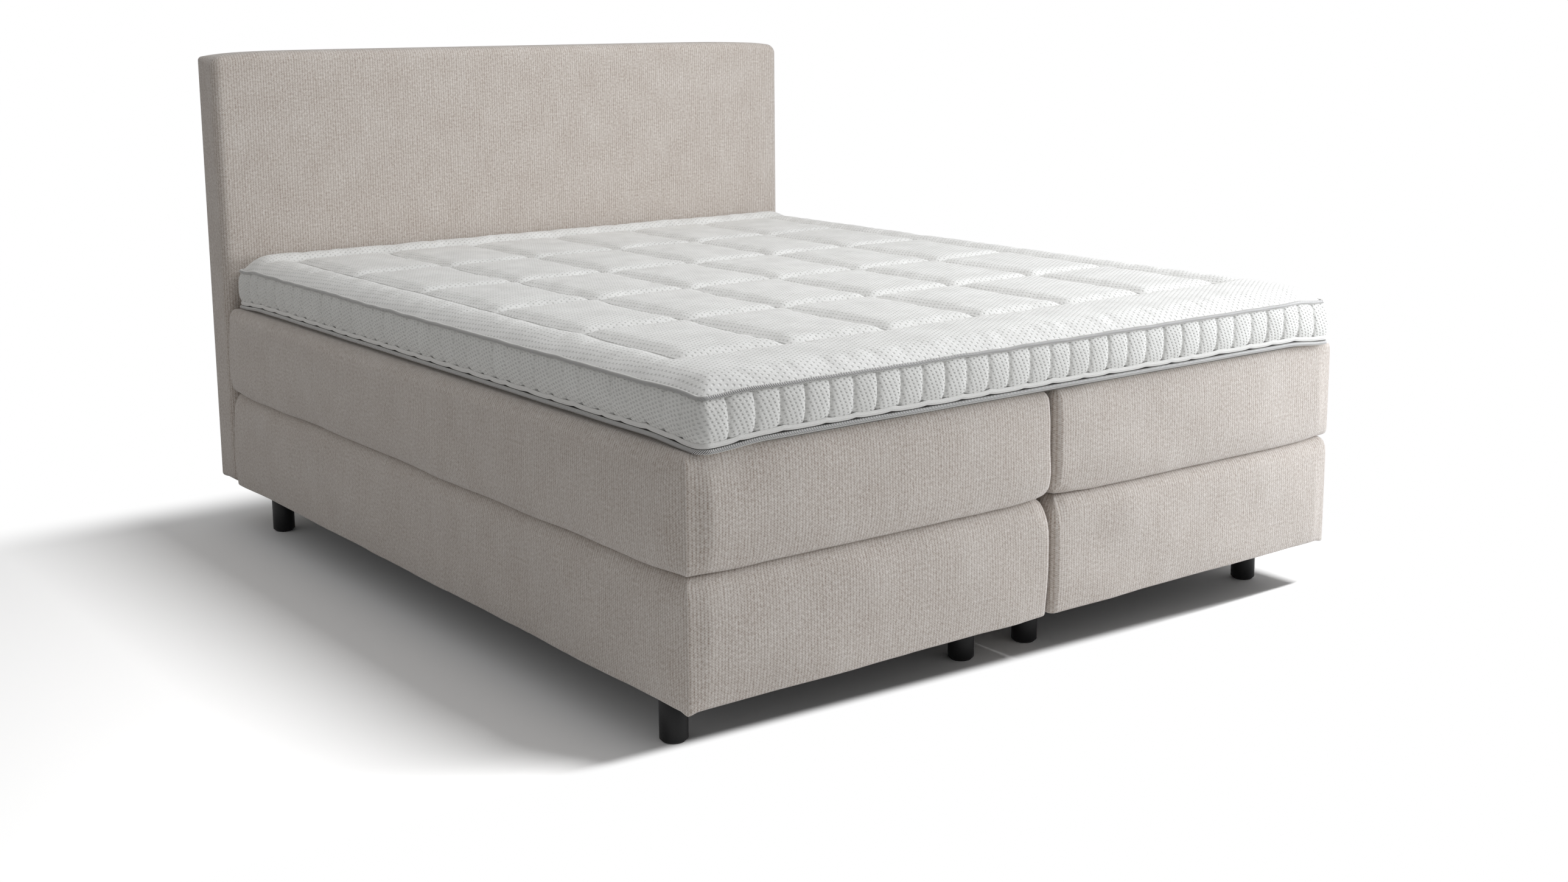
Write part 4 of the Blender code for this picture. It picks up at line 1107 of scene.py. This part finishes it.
# %% [markdown]
# ## Foam
# The foam parts are cut square, and their outer corners are rounded off so that the covers
# can be drawn in. The topper's slab, the two comfort layers and the base's pad are plain
# blocks, and the box of foam round a spring core has an opening for it.

# %% Foam finish
foam, tree, shader, place = new_finish("cold_cure_foam", 0.95)
cells = add_node(tree, "TexVoronoi", Vector=place, Scale=500.0, feature="F1").outputs["Distance"]
# The pores are drawn darker than the walls between them: painted shade in the pores.
surface(tree, shader, cells, [(0.2, "#cdbf8c"), (0.6, "#ece1b4")], cells, 0.6 * mm)


# %% Make the foam parts
def cut_block(low, high, less):
    """A block between two corners, and shorter by less along each axis."""
    bm = bmesh.new()
    bmesh.ops.create_cube(bm, size=1.0)
    bmesh.ops.scale(bm, vec=high - low - Vector(less), verts=bm.verts)
    bmesh.ops.translate(bm, vec=(low + high) / 2, verts=bm.verts)
    return bm


def rounded(bm, edges, radius, segments):
    bmesh.ops.bevel(bm, geom=edges, affect="EDGES", offset=radius, segments=segments,
                    profile=0.5, material=-1)


def foam_block(name, node, body, corner, edge, wall=0.0, both=True, trim=mm):
    """A block of foam in place of a node. wall is the thickness left round an opening, both
    says that its lower edges are rounded too, and trim is how much narrower it is cut."""
    low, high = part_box(node)
    bm = cut_block(low, high, (trim, trim, 0))
    upright_edges = [e for e in bm.edges if abs(e.verts[0].co.z - e.verts[1].co.z) > mm]
    rounded(bm, upright_edges, corner, 8)
    lids = [f for f in bm.faces if abs(f.normal.z) > 0.9]
    if wall:
        bmesh.ops.inset_individual(bm, faces=lids, thickness=wall)
        rims = [e for f in lids for e in f.edges]
        bmesh.ops.delete(bm, geom=lids, context="FACES_ONLY")
        bmesh.ops.bridge_loops(bm, edges=rims)
    else:
        level_edges = [e for f in lids if f.normal.z > 0 or both for e in f.edges]
        rounded(bm, level_edges, edge, 3)
    bmesh.ops.recalc_face_normals(bm, faces=bm.faces)
    put_in_scene(bm, name, [foam], body, node, smooth=False)


foam_block("topper_foam_slab", "topper_core", "topper", 40 * mm, 9 * mm)
for side in ("left", "right"):
    foam_block(f"mattress_{side}_upper_foam", f"mattress_{side}_top_foam", "bed", 22 * mm,
               18 * mm, both=False)
    foam_block(f"mattress_{side}_lower_foam", f"mattress_{side}_bottom_foam", "bed", 26 * mm,
               16 * mm, trim=4 * mm)
    core_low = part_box(f"mattress_{side}_pocket_core")[0]
    foam_block(f"mattress_{side}_foam_walls", f"mattress_{side}_foam_box", "bed", 22 * mm, 0.0,
               core_low.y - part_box(f"mattress_{side}_foam_box")[0].y)
    foam_block(f"base_{side}_felt_pad", f"base_{side}_top_pad", "bed", 34 * mm, 22 * mm,
               both=False, trim=10 * mm)

pad_low, pad_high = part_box("headboard_pad")
bm = cut_block(pad_low, pad_high, (18 * mm, 2 * mm, 18 * mm))
pad_middle = (pad_low.y + pad_high.y) / 2
rounded(bm, [e for e in bm.edges if max(v.co.y for v in e.verts) < pad_middle], 22 * mm, 5)
bmesh.ops.recalc_face_normals(bm, faces=bm.faces)
put_in_scene(bm, "headboard_foam_pad", [foam], "bed", "headboard_pad", smooth=False)

# %% [markdown]
# ## The underside of the topper
# The underside is one flat piece of plain knit. At its edge it turns up to the lower cord,
# so it is a strip rolled round the outline again, closed by one flat face.

# %% Make the underside
under_low, under_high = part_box("topper_bottom_panel")
under_outline = Outline((under_low.x, under_low.y), (under_high.x, under_high.y),
                        [20 * mm] * 4, 12 * mm)
turn_up = 14 * mm


def under_rows(column):
    rise = bottom_cord_height(column) - bottom_cord_z
    ground = under_low.z + 0.5 * mm
    return [(inset, ground + rise * eased((turn_up - inset) / turn_up), 0.0, 0.0, 0.0)
            for inset in (0.0, 3 * mm, 6 * mm, 10 * mm, 15 * mm, 60 * mm)]


bm = rolled_strip(under_outline, under_rows, unswollen)
for face in bm.faces:
    if face.normal.z > 0:
        face.normal_flip()
put_in_scene(bm, "topper_underside", [border_knit], "topper", "topper_bottom_panel")

# %% [markdown]
# ## The closed undersides and back
# Thin black felt is stapled under each base and over the back of the headboard. It hangs
# between its staples like any sheet that is only held at its edge: a few millimetres under
# the bases, and less on the upright back, where it only gets soft waves.

# %% Black felt
felt, tree, shader, cloth = new_finish("black_spunbond_felt", 0.9, "cloth")
fibre = add_node(tree, "TexNoise", Vector=cloth, Scale=500.0, Detail=3.0)
dots = add_node(tree, "TexVoronoi", Vector=cloth, Scale=400.0, Randomness=0.2).outputs["Distance"]
tone = total(tree, 0.0, (fibre, 0.6), (dots, 0.5))
surface(tree, shader, tone, [(0.2, "#0d0d0e"), (0.8, "#2a2a2b")], tone, 0.3 * mm)


# %% Make the felt sheets
staple_step = 60 * mm
felt_mesh = 30 * mm


def felt_sheet(name, node, across, sag, seed):
    """A sheet in place of a thin node. across names its flat axes, sag its hang at the middle."""
    low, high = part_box(node)
    a, b = across
    off = 3 - a - b
    sizes = (high[a] - low[a], high[b] - low[b])
    steps = [round(size / felt_mesh) for size in sizes]
    bm = bmesh.new()
    bmesh.ops.create_grid(bm, x_segments=steps[0], y_segments=steps[1], size=0.5)
    uv = bm.loops.layers.uv.new("cloth")
    for face in bm.faces:
        for loop in face.loops:
            loop[uv].uv = ((loop.vert.co.x + 0.5) * sizes[0], (loop.vert.co.y + 0.5) * sizes[1])
    for vertex in bm.verts:
        s, t = vertex.co.x + 0.5, vertex.co.y + 0.5
        hang = sag * (math.sin(math.pi * s) * math.sin(math.pi * t)) ** 0.6
        edge = min(s, 1 - s) * min(t, 1 - t) * 16
        bumps = noise.noise(Vector((s * sizes[0] / 0.12, t * sizes[1] / 0.25, seed)))
        ripple = 0.25 * sag * min(edge, 1.0) * bumps
        # Each staple pulls a short pleat.
        rim = min(s * sizes[0], (1 - s) * sizes[0], t * sizes[1], (1 - t) * sizes[1])
        walk = s * sizes[0] + t * sizes[1]
        pleat = 0.5 * mm * math.exp(-rim / (25 * mm)) * math.sin(2 * math.pi * walk / staple_step)
        point = Vector((0, 0, 0))
        point[a], point[b] = low[a] + s * sizes[0], low[b] + t * sizes[1]
        outwards = 1 if off == 1 else -1
        point[off] = (low[off] + high[off]) / 2 + (hang + ripple + pleat * (rim > mm)) * outwards
        vertex.co = point
    bmesh.ops.recalc_face_normals(bm, faces=bm.faces)
    outward = Vector((0, 1, 0)) if off == 1 else Vector((0, 0, -1))
    for face in bm.faces:
        if face.normal.dot(outward) < 0:
            face.normal_flip()
    piece = put_in_scene(bm, name, [felt], "bed", node)
    print(name, "flat size:", [round(size, 3) for size in sizes])


for side in ("left", "right"):
    felt_sheet(f"base_{side}_bottom_felt", f"base_{side}_dust_cloth", (0, 1), 3 * mm,
               5.0 if side == "left" else 6.0)
felt_sheet("headboard_back_felt", "headboard_back_cloth", (0, 2), 1 * mm, 7.0)

# %% [markdown]
# ## What is hidden inside
# The frame's rails are planed pine with its grain along each rail, and the boards are
# birch plywood. The spring units are wrapped in white spunbond, sewn into one pocket per
# spring. These parts keep their solids and only get their finish.

# %% Wood
# How far the noise rises from one growth ring to the next.
ring_step = 2 * math.pi / 60


def wood(name, along, pale, dark):
    """Wood whose grain runs along one axis. Growth rings stand 3 to 4 mm apart."""
    finish, tree, shader, place = new_finish(name, 0.6)
    squeeze = [1.0, 1.0, 1.0]
    squeeze[along] = 0.06
    grain_place = add_node(tree, "Mapping", Vector=place, Scale=squeeze)
    rings = add_node(tree, "TexNoise", Vector=grain_place, Scale=40.0, Detail=1.0)
    fibre = add_node(tree, "TexNoise", Vector=grain_place, Scale=900.0, Detail=2.0)
    tone = total(tree, fibre, (wave(tree, rings, ring_step), 0.2))
    surface(tree, shader, tone, [(0.25, dark), (0.6, pale)], tone, 0.25 * mm)
    return finish


pine = {axis: wood(f"planed_pine_{'xyz'[axis]}", axis, "#e3c795", "#b98a50") for axis in (0, 1, 2)}
birch = {axis: wood(f"birch_plywood_{'xyz'[axis]}", axis, "#dcc39a", "#bd9b6b") for axis in (0, 1)}

# %% Spring pockets, the zip's tape and its coil
pocket_size = 60 * mm
pocket_cloth, tree, shader, place = new_finish("white_spunbond_pockets", 0.85)
# One pocket to each spring, and its cloth is embossed with small diamonds.
hollow = [add_node(tree, "Math", wave(tree, way, 2 * pocket_size), operation="ABSOLUTE")
          for way in add_node(tree, "SeparateXYZ", place).outputs[:2]]
pockets = add_node(tree, "Math", *hollow, operation="MULTIPLY")
emboss = add_node(tree, "TexVoronoi", Vector=place, Scale=450.0, Randomness=0.0)
height = total(tree, pockets, (emboss.outputs["Distance"], 0.05))
# The dips between the pockets are drawn darker: painted shade.
surface(tree, shader, height, [(0.0, "#b9b9b6"), (0.5, "#ececea")], height, 6 * mm)

zip_tape, tree, shader, place = new_finish("white_polyester_zip", 0.5)
along_y, along_z = add_node(tree, "SeparateXYZ", place).outputs[1:]
# The coil's turns are 1.2 mm apart and fill the middle of the tape; its rims are woven.
turns = total(tree, 0.5, (wave(tree, along_y, 1.2 * mm), 0.5))
chain_low, chain_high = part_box("topper_zip_chain")
chain_middle = (chain_low.z + chain_high.z) / 2
off_middle = add_node(tree, "Math", along_z, chain_middle, operation="SUBTRACT")
beside = add_node(tree, "Math", off_middle, operation="ABSOLUTE")
coil = add_node(tree, "MapRange", Value=beside, From_Min=2.4 * mm, From_Max=2.0 * mm)
height = add_node(tree, "Math", turns, coil, operation="MULTIPLY")
# The colour follows the height: the gaps between the turns are drawn darker, which is painted
# shade, and the woven rims beside the coil get the same darker colour.
surface(tree, shader, height, [(0.0, "#c9c8c4"), (1.0, "#f2f1ed")], height, 0.6 * mm)

# %% Give every remaining solid its finish
finishes = {"headboard_board": birch[0], "base_link": zinc_plate,
            "topper_zip_chain": zip_tape, "topper_zip_slider": nickel, "topper_zip_pull": nickel,
            "headboard_left_stile": pine[2], "headboard_right_stile": pine[2],
            "headboard_top_rail": pine[0], "headboard_bottom_rail": pine[0],
            "headboard_left_bracket": zinc_plate, "headboard_right_bracket": zinc_plate}
for side in ("left", "right"):
    finishes.update({f"base_{side}_outer_rail": pine[1], f"base_{side}_inner_rail": pine[1],
                     f"base_{side}_foot_rail": pine[0], f"base_{side}_head_rail": pine[0],
                     f"base_{side}_deck": birch[1], f"base_{side}_spring_core": pocket_cloth,
                     f"mattress_{side}_pocket_core": pocket_cloth,
                     f"mattress_{side}_bottom_panel": grey_lining_and_shade})
for node, finish in finishes.items():
    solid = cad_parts[node]
    solid.data.materials.clear()
    solid.data.materials.append(finish)
    for slot in solid.material_slots:
        slot.material = finish
print("solids with a finish:", len(finishes))
